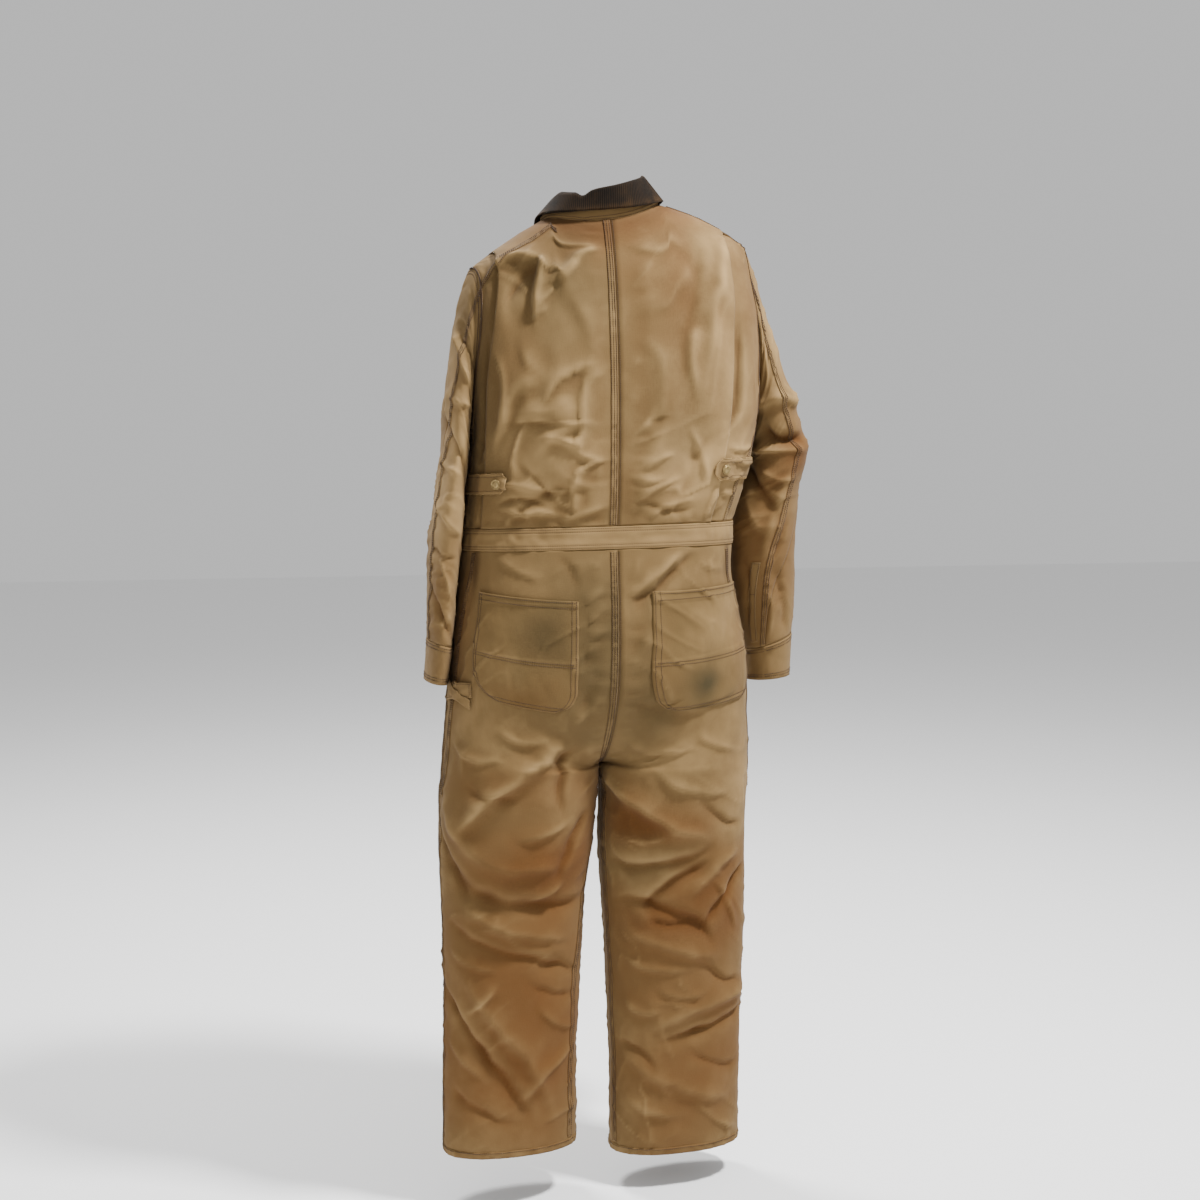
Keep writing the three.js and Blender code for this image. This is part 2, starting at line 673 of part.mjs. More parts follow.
// Waistband from one front edge round the back to the other
const bandPoint = (off) => (a, b) => {
  const turn = mix(-1, 1, a);
  const side = turn > 0 ? 'left' : 'right';
  const share = Math.abs(turn) * 2;
  const face = share < 1 ? 1 : -1;
  const u = share < 1 ? share : 2 - share;
  const top = trunk[side][face > 0 ? 'back' : 'front'].skin(u, 0, off);
  const low = leg[side][face > 0 ? 'back' : 'front'].skin(1 - u, 0, off);
  const p = top.lerp(low, mix(0.01, 0.99, b));
  if (share > 1 && Math.abs(p.x) < ZIP_GAP) {
    p.x = Math.sign(turn) * ZIP_GAP;
  }
  return p;
};
wall('waistband', DUCK_LIGHT, 44, 2, bandPoint(BAND_PROUD), bandPoint(BAND_PROUD - BAND_CLOTH));

// Neck seam by its angle from the centre back
const neckPoint = (degrees) => {
  const side = degrees >= 0 ? 'left' : 'right';
  const face = Math.abs(degrees) <= 90 ? 'back' : 'front';
  const x = NECK_HALF * Math.abs(Math.sin(degrees * (Math.PI / 180)));
  return trunk[side][face].folded(shareAt(side, x), 1);
};
const neckOut = (degrees) => {
  const angle = degrees * (Math.PI / 180);
  return new THREE.Vector3(Math.sin(angle), 1.25 * Math.cos(angle), 0).normalize();
};
const collarPoint = (degrees, out, up) => {
  const side = Math.sin(degrees * (Math.PI / 180)) ** 2;
  const inward = COLLAR_LEAN * side * Math.max(up - 6, 0);
  return neckPoint(degrees).addScaledVector(neckOut(degrees), out - inward).add(new THREE.Vector3(0, 0, up));
};
const COLLAR_END = 180;
const COLLAR_COLUMNS = 4 * NECK_COLUMNS;
const standPoint = (out) => (a, b) => {
  const degrees = mix(-COLLAR_END, COLLAR_END, a);
  const top = read(COLLAR, 1, degrees) - STAND_DROP;
  return collarPoint(degrees, out + 1.5 * b, mix(Math.abs(degrees) > 90 ? 2.5 : 0.8, top, b));
};
wall('collar_stand', DUCK_LIGHT, COLLAR_COLUMNS, 2, standPoint(0.2), standPoint(-CLOTH + 0.2));

// The fall rolls over the top of the stand: share along the sheet, reach out, height share
const FALL = [
  [0, -2.6, 0],
  [0.2, -2.0, 0.55],
  [0.32, 0.8, 0.93],
  [0.42, 5.0, 1.0],
  [0.52, 8.0, 0.9],
  [0.62, 9.4, 0.7],
  [1, 0, 0],
];
const fallPoint = (thick) => (a, b) => {
  const degrees = mix(-COLLAR_END, COLLAR_END, a);
  const place = (share) => {
    const top = read(COLLAR, 1, degrees);
    const start = top - STAND_DROP + 1.2;
    if (share <= 0.62) {
      return [read(FALL, 1, share), mix(start, top, read(FALL, 2, share))];
    }
    const down = (share - 0.62) / 0.38;
    const from = mix(start, top, 0.7);
    return [mix(9.4, read(COLLAR, 3, degrees), down), mix(from, read(COLLAR, 2, degrees), down)];
  };
  const [r0, h0] = place(clamp(b - 0.01, 0, 1));
  const [r1, h1] = place(clamp(b + 0.01, 0, 1));
  const length = Math.hypot(r1 - r0, h1 - h0);
  const [r, h] = place(b);
  return collarPoint(degrees, r + ((h1 - h0) / length) * thick, h - ((r1 - r0) / length) * thick);
};
wall('collar_fall', CORD, COLLAR_COLUMNS, 8, fallPoint(0), fallPoint(2.4));

// Back pockets, tool loop, waist tabs with buttons, sleeve placket
for (const side of ['left', 'right']) {
  const rows = POCKETS[side];
  const first = rows[0][0];
  const last = rows[rows.length - 1][0];
  const place = (a, b) => {
    const v = mix(first, last, b < 0.7 ? b * 1.1 : 0.77 + (b - 0.7) * (0.23 / 0.3));
    return [mix(read(rows, 1, v), read(rows, 2, v), a), v];
  };
  const mouth = (v) => 1.6 * (1 - ease((v - first) / 0.03));
  panelWall(`pocket_back_${side}`, DUCK_WORN, leg[side].back, 8, 10, place, (u, v) => 4.5 + mouth(v), 2.2);
  const tab = TABS[side];
  const tip = 0.93;
  const tabPlace = (a, b) => {
    const narrow = a > tip ? 1 - 0.62 * ((a - tip) / (1 - tip)) : 1;
    return [mix(tab.from, tab.to, a), tab.v + (b * 2 - 1) * tab.half * narrow];
  };
  const lift = (u) => 2.7 + (PLEAT_LIFT + 2.4) * ease((pleatEdge(side, tab.v) + 0.1 - u) / 0.09);
  panelWall(`tab_${side}`, DUCK_LIGHT, trunk[side].back, 14, 2, tabPlace, lift, 2.3);
  const seat = lift(tab.button) + 0.3;
  const centre = trunk[side].back.skin(tab.button, tab.v, seat);
  const axis = trunk[side].back.normal(tab.button, tab.v);
  const button = new THREE.Mesh(
    new THREE.LatheGeometry([[0, 0], [4.5, 0], [4.5, 0.7], [8, 0.9], [8.4, 1.9], [6.6, 2.9], [5.6, 2.2], [0, 2.5]]
      .map(([x, y]) => new THREE.Vector2(x, y)), 12),
    new THREE.MeshStandardMaterial({ color: BRASS, roughness: 0.4, metalness: 0.9 }),
  );
  button.name = `button_${side}`;
  button.quaternion.setFromUnitVectors(new THREE.Vector3(0, 1, 0), axis);
  button.position.copy(centre);
  group.add(button);
}

panelWall('tool_loop', DUCK_LIGHT, leg.left.back, 8, 2, (a, b) => {
  const u = mix(0.02, 0.318, a);
  return [u, mix(mix(0.216, 0.2, a), mix(0.246, 0.222, a), b)];
}, (u) => 2.7 + 5 * Math.sin(clamp((u - 0.02) / 0.298, 0, 1) * Math.PI), 2.2);

panelWall('sleeve_placket', DUCK_LIGHT, sleeve.right, 2, 10, (a, b) => {
  const t = mix(0.79, 0.985, b);
  const centre = mix(0.262, 0.14, b);
  return [centre + (a - 0.5) * 0.085, t];
}, () => 2.0, 1.6);

// Closed zip down the centre front: tape behind the fronts, chain between them
const ZIP_PROFILE = [
  [-13, -5.6], [13, -5.6], [13, -4.2], [3.2, -4.2], [3.2, -0.8], [-3.2, -0.8], [-3.2, -4.2], [-13, -4.2],
];
const zipSpots = [];
const zipStart = 0.985;
const spot = (panel, u, v) => {
  const p = panel.folded(u, v);
  const n = panel.normal(u, v);
  zipSpots.push({ p: new THREE.Vector3(0, p.y, p.z), n: new THREE.Vector3(0, n.y, n.z).normalize() });
};
for (let k = 0; k <= 16; k += 1) {
  spot(trunk.left.front, 0, mix(zipStart, 0.004, k / 16));
}
const zipRows = 8;
const zipDrop = (v) => leg.left.front.folded(1, v).z;
let zipLast = 0.02;
while (zipDrop(zipLast) > ZIP_END + 32) {
  zipLast += 0.001;
}
for (let k = 0; k <= zipRows; k += 1) {
  spot(leg.left.front, 1, mix(0.002, zipLast, k / zipRows));
}
const zipPoints = [];
for (const { p, n } of zipSpots) {
  for (const [x, d] of ZIP_PROFILE) {
    zipPoints.push(new THREE.Vector3(x, 0, 0).add(p).addScaledVector(n, d));
  }
}
const ringSize = ZIP_PROFILE.length;
const zipFaces = [];
for (let k = 0; k < zipSpots.length - 1; k += 1) {
  for (let i = 0; i < ringSize; i += 1) {
    const a = k * ringSize + i;
    const b = k * ringSize + ((i + 1) % ringSize);
    zipFaces.push(a, b, b + ringSize, a, b + ringSize, a + ringSize);
  }
}
for (const end of [0, zipSpots.length - 1]) {
  const centre = zipPoints.length;
  const { p, n } = zipSpots[end];
  zipPoints.push(p.clone().addScaledVector(n, -4.9));
  for (let i = 0; i < ringSize; i += 1) {
    const a = end * ringSize + i;
    const b = end * ringSize + ((i + 1) % ringSize);
    zipFaces.push(...(end === 0 ? [centre, b, a] : [centre, a, b]));
  }
}
solid('zip', BRASS, zipPoints, zipFaces, { roughness: 0.5, metalness: 0.4 });

// Slider at the top of the zip with its pull tab hanging down
const flat = (rows) => rows.map(([x, y]) => new THREE.Vector2(x, y));
const sliderHalf = [[4.5, 0], [4.5, 6], [3, 9]];
const tabHalf = [[1.8, -24], [3, -22], [2.4, -5], [3, -3]];
const mirrored = (rows) => rows.map(([x, y]) => [-x, y]).reverse();
const sliderShape = new THREE.Shape(flat([
  ...tabHalf, ...sliderHalf, ...mirrored(sliderHalf), ...mirrored(tabHalf),
]));
sliderShape.holes.push(new THREE.Path(flat([[-1.4, -20], [1.4, -20], [1.4, -15], [-1.4, -15]])));
const sliderSpot = zipSpots[1];
const sliderUp = zipSpots[0].p.clone().sub(zipSpots[2].p).normalize();
const sliderOut = new THREE.Vector3(1, 0, 0).cross(sliderUp).normalize();
const slider = new THREE.Mesh(
  new THREE.ExtrudeGeometry(sliderShape, { depth: 2.2, bevelEnabled: false }),
  new THREE.MeshStandardMaterial({ color: BRASS, roughness: 0.4, metalness: 0.9 }),
);
slider.name = 'zip_slider';
slider.quaternion.setFromRotationMatrix(new THREE.Matrix4().makeBasis(
  new THREE.Vector3(1, 0, 0), sliderUp, sliderOut));
slider.position.copy(sliderSpot.p).addScaledVector(sliderOut, SLIDER_PROUD);
group.add(slider);

export default group;
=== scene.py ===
"""Boiler suit of faded cotton duck with a corduroy collar, seen from the back.

The frame holds the suit as stiff walls. This script lays a thin cloth shell on each of them, with its
creases, felled seams, stitches and worn finish, whose hollows and dark patches are painted shade. Surfaces are
worked out in millimetres and turned into metres at the end.
"""
from __future__ import annotations

import logging
import math
from dataclasses import dataclass, field
from enum import Enum
from typing import Callable, Sequence

import bpy
import numpy as np
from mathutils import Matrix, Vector


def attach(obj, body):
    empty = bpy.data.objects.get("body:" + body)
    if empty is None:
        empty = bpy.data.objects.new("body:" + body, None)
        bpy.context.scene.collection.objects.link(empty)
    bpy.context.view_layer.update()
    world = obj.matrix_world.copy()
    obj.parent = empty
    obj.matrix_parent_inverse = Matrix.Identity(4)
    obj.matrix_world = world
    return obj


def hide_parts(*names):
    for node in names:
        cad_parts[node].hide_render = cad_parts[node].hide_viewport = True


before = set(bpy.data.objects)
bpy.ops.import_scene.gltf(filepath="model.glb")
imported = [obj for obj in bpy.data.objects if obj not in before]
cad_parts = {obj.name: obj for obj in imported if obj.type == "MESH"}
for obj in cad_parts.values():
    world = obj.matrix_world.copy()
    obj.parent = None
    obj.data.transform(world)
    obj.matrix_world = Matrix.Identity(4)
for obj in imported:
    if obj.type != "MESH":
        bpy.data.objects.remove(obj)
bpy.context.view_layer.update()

log = logging.getLogger("boiler_suit")

MM = 0.001
Array = np.ndarray
Rows = Sequence[Sequence[float]]
Place = Callable[[Array, Array], tuple[Array, Array]]
Path = Callable[[Array], tuple[Array, Array]]
Lift = Callable[[Array, Array], Array | float]


class Side(Enum):
    """The wearer's left or right, as the sign of x."""

    LEFT = 1
    RIGHT = -1

    @property
    def word(self) -> str:
        """The name used in node names."""
        return self.name.lower()


class Face(Enum):
    """Back or front of the suit, as the sign of y."""

    BACK = 1
    FRONT = -1

    @property
    def word(self) -> str:
        """The name used in node names."""
        return self.name.lower()


class Tone(Enum):
    """What a listed patch of colour does to the cloth."""

    FADE = 0
    GRIME = 1
    # Less faded warm dye, and also painted shade in the hollows and under the seat of the legs
    WARM_AND_SHADE = 2
    # Painted shade: under the collar, the seat and folds, between sleeve and trunk, at the side openings and
    # the elbow
    DARK = 3


# Sizes of the suit, in millimetres, as in the part
SEAM = 0.15
BAND_TOP = -523.0
BAND_LOW = -561.0
UNDERARM = -345.0
SHOULDER = -78.0
SEAT_TURN = -775.0
CROTCH = -935.0
HEM = {Side.LEFT: -1608.0, Side.RIGHT: -1636.0}
NECK_HALF = 98.0
RIDGE_TOP = 22.0
RIDGE_FALL = 100.0
ZIP_GAP = 5.0
ZIP_END = -742.0
PLEAT_LIFT = 3.0
PLEAT_SINK = 3.2
STAND_DROP = 22
TRUNK_FLAT = (300.0, 480.0)
LEG_FLAT = (340.0, 1060.0)
SLEEVE_FLAT = (200.0, 640.0)
BAND_FLAT = (1120, 40)
COLLAR_DEEP = 100

# Shares and shape numbers, as in the part: armhole and crotch, sleeve rings and end, angle of the neck in
# degrees, exponents of the rounded sections
V_ARM = 0.42
V_CROTCH = 0.355
T_HEAD = 0.45
T_END = 1.12
NECK_DROP = {Face.BACK: 31.0, Face.FRONT: 52.0}
DOME = 2.5
TRUNK_ROUND = 2.6
LEG_ROUND = 2.3
HIP_POWER = 0.8
NECK_LONG = 1.25
PLEAT_UNDER = 0.07
COLLAR_LEAN = 0.8
FALL_HANGS = 0.62
FALL_REACH = 9.4

# The cloth laid on the solids: its thickness, the gain and stray of its creases and the side slit's opening
# in millimetres, the slit's depth and the sheets' ends as shares of their panel
SHELL = 1.3
CREASE_GAIN = 1.3
CREASE_STRAY = 3.5
SLIT_OPEN = 5.5
SLIT_DEPTH = 0.075
TRUNK_END = 0.0008
LEG_TOP = -0.0024
SLEEVE_SLACK = 0.0007
SLEEVE_HALF = 0.9986
HEM_SHARE = 13.0 / 1050

# Tip of the waist tabs: its start and length as shares of the tab, and how much it narrows
TIP_START, TIP_LONG, TIP_NARROW = 0.93, 0.07, 0.62

# Rows of stitches: millimetres from a seam, shares of a felled seam, shares of the waistband
TRIPLE = (2.2, 6.6, 11.2)
FELLED = (0.15, 0.5, 0.86)
BAND_ROWS = (0.08, 0.2, 0.8, 0.92)

# z, left half width, right half width, back depth, front depth, squareness
TRUNK = (
    (-561, 241, 231, 119, 116, 2.5),
    (-523, 238, 232, 116, 118, 2.5),
    (-480, 234, 246, 121, 122, 2.6),
    (-430, 229, 258, 124, 124, 2.8),
    (-380, 225, 267, 125, 124, 3.0),
    (-345, 224, 271, 125, 122, 3.2),
    (-200, 227, 272, 118, 118, 3.2),
    (-78, 224, 258, 112, 112, 3.0),
    (30, 224, 258, 112, 112, 3.0),
)

# height share above the underarm, left and right share of the width at the armhole
ARMHOLE = (
    (0, 1, 1),
    (0.12, 0.992, 0.995),
    (0.3, 0.965, 0.985),
    (0.5, 0.95, 0.975),
    (0.7, 0.955, 0.975),
    (0.88, 0.975, 0.985),
    (1, 1, 1),
)

# z, slope of the hanging cloth towards the wearer's left
TILT = (
    (-1700, 0),
    (-700, 0),
    (-530, -0.022),
    (-300, -0.06),
    (-80, -0.105),
    (0, -0.135),
    (60, -0.14),
)

# z, left outer, left inner, right outer, right inner, back depth, front depth
LEGS = (
    (-1640, 281, 46, -256, -18, 59, 59),
    (-1484, 279, 46, -256, -18, 63, 63),
    (-1377, 277, 42, -258, -13, 68, 68),
    (-1270, 277, 36, -261, -9, 74, 74),
    (-1165, 280, 31, -262, -2, 82, 82),
    (-1060, 284, 18, -262, 3, 92, 92),
    (-990, 282, 10, -263, 0, 100, 99),
    (-935, 276, 6.5, -263, 5.5, 106, 104),
    (-829, 268, 3, -260, 3, 122, 113),
    (-759, 260, 1, -256, 1, 130, 118),
    (-690, 255, 0, -246, 0, 131, 121),
    (-640, 250, 0, -235, 0, 129, 120),
    (-600, 244, 0, -229, 0, 124, 118),
    (-561, 241, 0, -231, 0, 119, 116),
)

# share of the sleeve, z, centre x, centre y, half width, half depth, slope, twist, squareness
SLEEVES = {
    Side.LEFT: (
        (0.45, -400, 251, 3, 20, 76, 0, 8, 2.4),
        (0.6, -480, 261, 3, 22, 78, 0, 8, 2.5),
        (0.75, -560, 269, 2, 24, 76, 0, 8, 2.5),
        (0.9, -640, 275.5, 1, 22.5, 70, 4, 8, 2.4),
        (1.0, -720, 279.5, 0, 20, 62, 16, 8, 2.3),
        (1.12, -786, 286, -2, 18, 54, 8, 8, 2.2),
    ),
    Side.RIGHT: (
        (0.45, -400, -328, -14, 53, 70, 14, 10, 2.2),
        (0.6, -480, -308, -24, 57, 70, 4, 27, 2.2),
        (0.75, -570, -303, -32, 59, 68, 0, 60, 2.2),
        (0.9, -655, -311, -38, 57, 60, 6, 95, 2.1),
        (1.0, -736, -321, -40, 45, 52, 20, 118, 2.1),
        (1.12, -803, -322, -42, 40, 46, 6, 122, 2.1),
    ),
}

# height share, across share of the pleat edge on the left and on the right
PLEAT = (
    (0, 0.69, 0.46),
    (0.12, 0.7, 0.45),
    (0.42, 0.715, 0.46),
    (0.6, 0.655, 0.5),
    (0.8, 0.61, 0.54),
    (1, 0.6, 0.57),
)

# Creases on the flat panels: start across, start along, end across, end along, bow, width, height.
# Across counts from the side seam, with the back positive and the front negative. Start, end and bow of the
# rows on the back are the output of a scratch program, from points picked by eye on the photo (report.md).
TRUNK_FOLDS = {
    Side.LEFT: (
        (84, 380, 218, 342, 19, 16, 8), (132, 315, 205, 341, 11, 17, -9), (209, 348, 195, 290, 0, 10, 8),
        (291, 402, 230, 308, -1, 20, 7), (115, 159, 211, 222, 27, 16, 8), (196, 138, 276, 198, 9, 20, 6),
        (170, 16, 270, 69, 18, 18, -5), (242, 267, 249, 88, -9, 42, 5), (76, 278, 59, 132, 2, 14, -7),
        (185, 204, 259, 192, 0, 7, 4), (135, 46, 218, 38, 12, 7, -4), (156, 16, 240, 18, 14, 6, 3),
        (242, 164, 286, 120, -6, 8, 3.5), (166, 255, 235, 228, -9, 12, 3), (279, 378, 296, 389, 8, 5, 3),
        (191, 285, 216, 288, 0, 5, 3), (228, 380, 288, 406, -2, 7, 3), (112, 252, 121, 188, 15, 10, 4),
        (170, 120, 228, 52, 5, 8, -4), (258, 303, 281, 238, 5, 14, 3), (130, 93, 195, 80, -8, 6, 4),
        (199, 212, 278, 238, 0, 5, 6), (160, 202, 258, 207, 2, 6, 7), (269, 230, 259, 147, 1, 5, 6),
        (176, 192, 154, 99, -7, 5, 6), (274, 224, 296, 232, 0, 5, 5), (269, 112, 256, 70, -4, 5, 6),
        (256, 78, 259, 26, 0, 5, 5), (269, 112, 295, 126, 1, 5, 5), (168, 74, 251, 69, -1, 5, 4),
        (204, 170, 262, 152, 3, 8, 4), (136, 42, 234, 22, -5, 6, 5), (241, 15, 296, 39, -4, 6, 6),
        (209, 350, 195, 278, -7, 6, 6.5), (212, 315, 264, 364, -12, 6, 6), (264, 364, 290, 392, 4, 6, 4),
        (206, 351, 239, 329, -7, 4, 4), (198, 294, 228, 309, -1, 5, 4), (140, 383, 206, 354, 6, 7, 3.5),
        (-60, 300, -190, 170, 16, 18, 7), (-80, 90, -240, 50, -12, 16, 6),
        (-170, 330, -240, 200, 12, 24, 6), (-110, 210, -250, 130, 14, 16, -6),
    ),
    Side.RIGHT: (
        (142, 393, 216, 207, 1, 18, 8), (198, 356, 244, 219, -1, 20, -7), (254, 207, 290, 38, 0, 22, 6),
        (281, 360, 286, 208, -9, 34, 4), (205, 153, 241, 22, 0, 18, -6), (139, 267, 160, 178, -9, 12, -7),
        (292, 408, 230, 351, 10, 9, 3), (221, 321, 275, 286, -8, 12, 3), (296, 104, 258, 86, 13, 8, 3),
        (229, 171, 198, 80, -5, 7, 4), (284, 46, 212, 26, 9, 7, -3.5), (214, 260, 225, 213, 10, 10, 4),
        (276, 254, 272, 192, -13, 14, 3), (171, 60, 188, 6, -1, 6, 3.5), (79, 140, 149, 138, -7, 4, 3),
        (20, 116, 148, 112, -5, 4, 3), (97, 87, 150, 86, -5, 4, 3), (109, 59, 151, 56, -6, 4, 3),
        (294, 140, 279, 197, -4, 5, 6), (279, 197, 258, 204, -2, 5, 2), (299, 231, 285, 236, -1, 4, 5),
        (300, 210, 289, 214, 0, 4, 5), (296, 39, 238, 86, -6, 6, 4), (270, 9, 216, 44, -9, 6, 4),
        (285, 102, 251, 128, -2, 6, 4), (-70, 270, -220, 190, -14, 18, 7), (-60, 130, -230, 80, 14, 18, 6),
        (-150, 350, -250, 230, -10, 22, 6), (-90, 60, -200, 30, 8, 14, -5),
    ),
}

# Leg creases, from the side seam and down from the waistband
LEG_FOLDS = {
    Side.LEFT: (
        (334, 35, 309, 73, -1, 9, 5), (327, 126, 314, 237, 5, 18, -5), (255, 287, 79, 469, 9, 17, 12),
        (273, 298, 211, 434, 25, 9, -7), (0, 469, 272, 610, 53, 20, -10), (33, 419, 242, 538, 48, 26, 7),
        (262, 452, 214, 555, 1, 12, -7), (78, 605, 234, 672, 8, 14, 6), (50, 644, 268, 732, 7, 11, -7),
        (10, 759, 181, 976, -18, 12, -9), (88, 747, 227, 976, -11, 20, 6), (173, 961, 273, 876, -11, 13, 5),
        (336, 80, 312, 98, 2, 6, 4), (336, 106, 314, 124, 1, 6, 3.5), (337, 15, 317, 25, -4, 6, 3),
        (160, 13, 246, 35, 6, 9, 3), (271, 7, 292, 56, -7, 7, -3), (326, 209, 295, 240, -4, 8, 4),
        (310, 126, 312, 195, -5, 7, 3), (176, 600, 222, 571, 2, 7, 5), (159, 285, 244, 272, 9, 9, 3),
        (52, 328, 142, 341, 10, 9, 3.5), (88, 402, 160, 414, 9, 8, -3.5), (35, 532, 94, 595, -1, 7, -4),
        (164, 489, 214, 462, 4, 9, 4), (88, 797, 135, 750, 2, 7, 5), (47, 689, 132, 722, 4, 7, 3.5),
        (181, 749, 269, 778, 11, 9, -3.5), (198, 797, 276, 838, 9, 7, 3), (37, 853, 122, 913, -1, 8, 3.5),
        (58, 939, 166, 999, 3, 10, -4), (212, 1000, 299, 984, -2, 7, 3), (112, 646, 169, 676, -6, 6, 3),
        (-260, 250, -90, 330, 14, 18, 7), (-60, 440, -240, 520, -14, 18, 8),
        (-40, 600, -230, 670, 16, 15, -8), (-50, 660, -220, 730, 14, 16, 7),
        (-240, 840, -80, 930, 10, 15, 6), (-40, 990, -180, 940, 8, 15, -5),
    ),
    Side.RIGHT: (
        (241, 0, 334, 71, -4, 9, 7), (221, 10, 334, 80, 0, 9, -6), (307, 118, 340, 202, -4, 12, 5),
        (317, 17, 329, 197, -5, 22, -4), (306, 389, 154, 495, -2, 18, 12),
        (290, 540, 146, 522, -17, 15, -10), (139, 538, 224, 613, -1, 12, -8),
        (62, 558, 143, 646, -5, 9, -9), (86, 525, 166, 605, -11, 14, 6), (273, 605, 136, 679, 26, 14, -8),
        (259, 659, 132, 707, -3, 18, 6), (28, 815, 191, 856, -5, 10, -8), (27, 780, 212, 826, -10, 14, 6),
        (241, 889, 95, 969, -12, 22, 5), (339, 209, 211, 252, -5, 14, -4),
        (317, 275, 194, 318, -12, 9, 3.5), (198, 278, 103, 341, -9, 8, 3), (205, 384, 118, 414, -13, 10, 4),
        (157, 429, 79, 477, -11, 8, -4), (261, 492, 195, 494, -7, 6, 4), (129, 573, 81, 661, 4, 7, 4),
        (218, 638, 166, 644, -6, 7, -4), (258, 712, 166, 730, -7, 8, 3.5), (152, 714, 59, 762, -13, 8, -4),
        (271, 783, 204, 798, -12, 8, 3), (163, 875, 58, 913, -14, 8, -4), (288, 858, 212, 906, 11, 9, -4),
        (262, 962, 174, 990, -6, 9, 3.5), (147, 977, 59, 1027, -11, 7, 3), (204, 762, 142, 769, -13, 7, 3),
        (303, 212, 261, 220, -4, 5, -3), (316, 0, 326, 58, -3, 7, 3), (208, 20, 135, 33, -7, 5, 3),
        (340, 141, 327, 159, -5, 5, 3), (320, 86, 339, 126, -4, 6, 3), (-270, 230, -100, 300, -12, 18, 7),
        (-50, 430, -250, 500, 16, 18, 8), (-60, 570, -240, 620, -14, 15, -8),
        (-50, 630, -230, 690, -14, 16, 7), (-230, 800, -70, 900, -12, 15, 6),
        (-50, 950, -210, 1000, 10, 15, -5),
    ),
}

# Sleeve creases count across from the long seam, with the back positive
SLEEVE_FOLDS = {
    Side.LEFT: (
        (14, 112, 117, 155, 13, 12, 6), (-9, 244, 129, 325, -7, 10, -6), (-9, 385, 127, 455, 1, 11, 5),
        (7, 560, 157, 632, 7, 8, -6), (10, 208, 131, 177, 16, 6, 3.5), (-10, 307, 96, 334, 2, 6, 3.5),
        (1, 475, 109, 502, 3, 6, -3.5), (-10, 627, 110, 605, 0, 5, 3), (56, 121, 143, 81, 12, 6, -3),
        (53, 502, 102, 578, -3, 6, 3.5), (-140, 260, -40, 300, 8, 14, -5), (-150, 420, -40, 470, -8, 14, 4),
    ),
    Side.RIGHT: (
        (169, 146, 23, 228, -5, 12, 9), (156, 197, 32, 271, -21, 13, -13), (183, 237, 60, 291, -10, 11, 6),
        (199, 291, 62, 410, 1, 9, -8), (74, 327, 38, 502, -7, 16, 6), (13, 522, -58, 634, -1, 12, -5),
        (107, 114, 138, 159, 12, 8, 4), (78, 184, 23, 220, -2, 6, 4), (136, 316, 61, 345, -12, 7, 4),
        (136, 385, 60, 452, -5, 7, 4), (37, 426, 29, 502, 3, 6, -4), (16, 562, -8, 638, 13, 6, 3.5),
        (77, 502, 44, 605, 11, 6, -3), (62, 103, 120, 103, 9, 6, -3), (-60, 200, -150, 250, 10, 14, -7),
        (-70, 320, -150, 420, -10, 14, 6),
    ),
}


def smooth_read(rows: Rows, column: int, at: Array | float) -> Array:
    """Reads a table on a smooth curve through its rows.

    Args:
        rows: The table, with its first column rising.
        column: The column to read.
        at: Where to read it, in the first column's unit.

    Returns:
        The values, one for each place.
    """
    table = np.asarray(rows, float)
    x, y = table[:, 0], table[:, column]
    z = np.clip(np.asarray(at, float), x[0], x[-1])
    i = np.clip(np.searchsorted(x, z, side="right") - 1, 0, len(x) - 2)
    slope = np.diff(y) / np.diff(x)
    tangent = np.empty_like(y)
    tangent[0], tangent[-1] = slope[0], slope[-1]
    tangent[1:-1] = np.where(slope[1:] * slope[:-1] > 0, (slope[1:] + slope[:-1]) / 2, 0)
    h = x[i + 1] - x[i]
    t = (z - x[i]) / h
    start = y[i] * (2 * t**3 - 3 * t**2 + 1) + h * tangent[i] * (t**3 - 2 * t**2 + t)
    return start + y[i + 1] * (3 * t**2 - 2 * t**3) + h * tangent[i + 1] * (t**3 - t**2)


def ease(value: Array | float) -> Array:
    """Soft step from 0 to 1."""
    t = np.clip(value, 0, 1)
    return t * t * (3 - 2 * t)


def power(value: Array, exponent: float | Array) -> Array:
    """Power that keeps the sign."""
    return np.sign(value) * np.abs(value) ** exponent


def mix(a: Array | float, b: Array | float, share: Array | float) -> Array:
    """Straight blend from a to b."""
    return a + (b - a) * share


def smooth_noise(x: Array, y: Array, seed: int) -> Array:
    """Soft seeded noise on the plane, from -1 to 1, with one bump in a unit."""
    size = 64
    lattice = np.random.default_rng(seed).uniform(-1, 1, (size, size))
    i, j = np.floor(x).astype(int), np.floor(y).astype(int)
    fx, fy = ease(x - i), ease(y - j)
    value = lambda a, b: lattice[(i + a) % size, (j + b) % size]
    return mix(mix(value(0, 0), value(1, 0), fx), mix(value(0, 1), value(1, 1), fx), fy)


def hump(value: Array, centre: float, width: float) -> Array:
    """Smooth hump of height 1 at the centre."""
    return np.exp(-(((value - centre) / width) ** 2))


def flush(u: Array, v: Array) -> float:
    """No lift anywhere."""
    return 0.0


def unit(vectors: Array) -> Array:
    """Vectors of length 1."""
    return vectors / np.maximum(np.linalg.norm(vectors, axis=-1, keepdims=True), 1e-9)


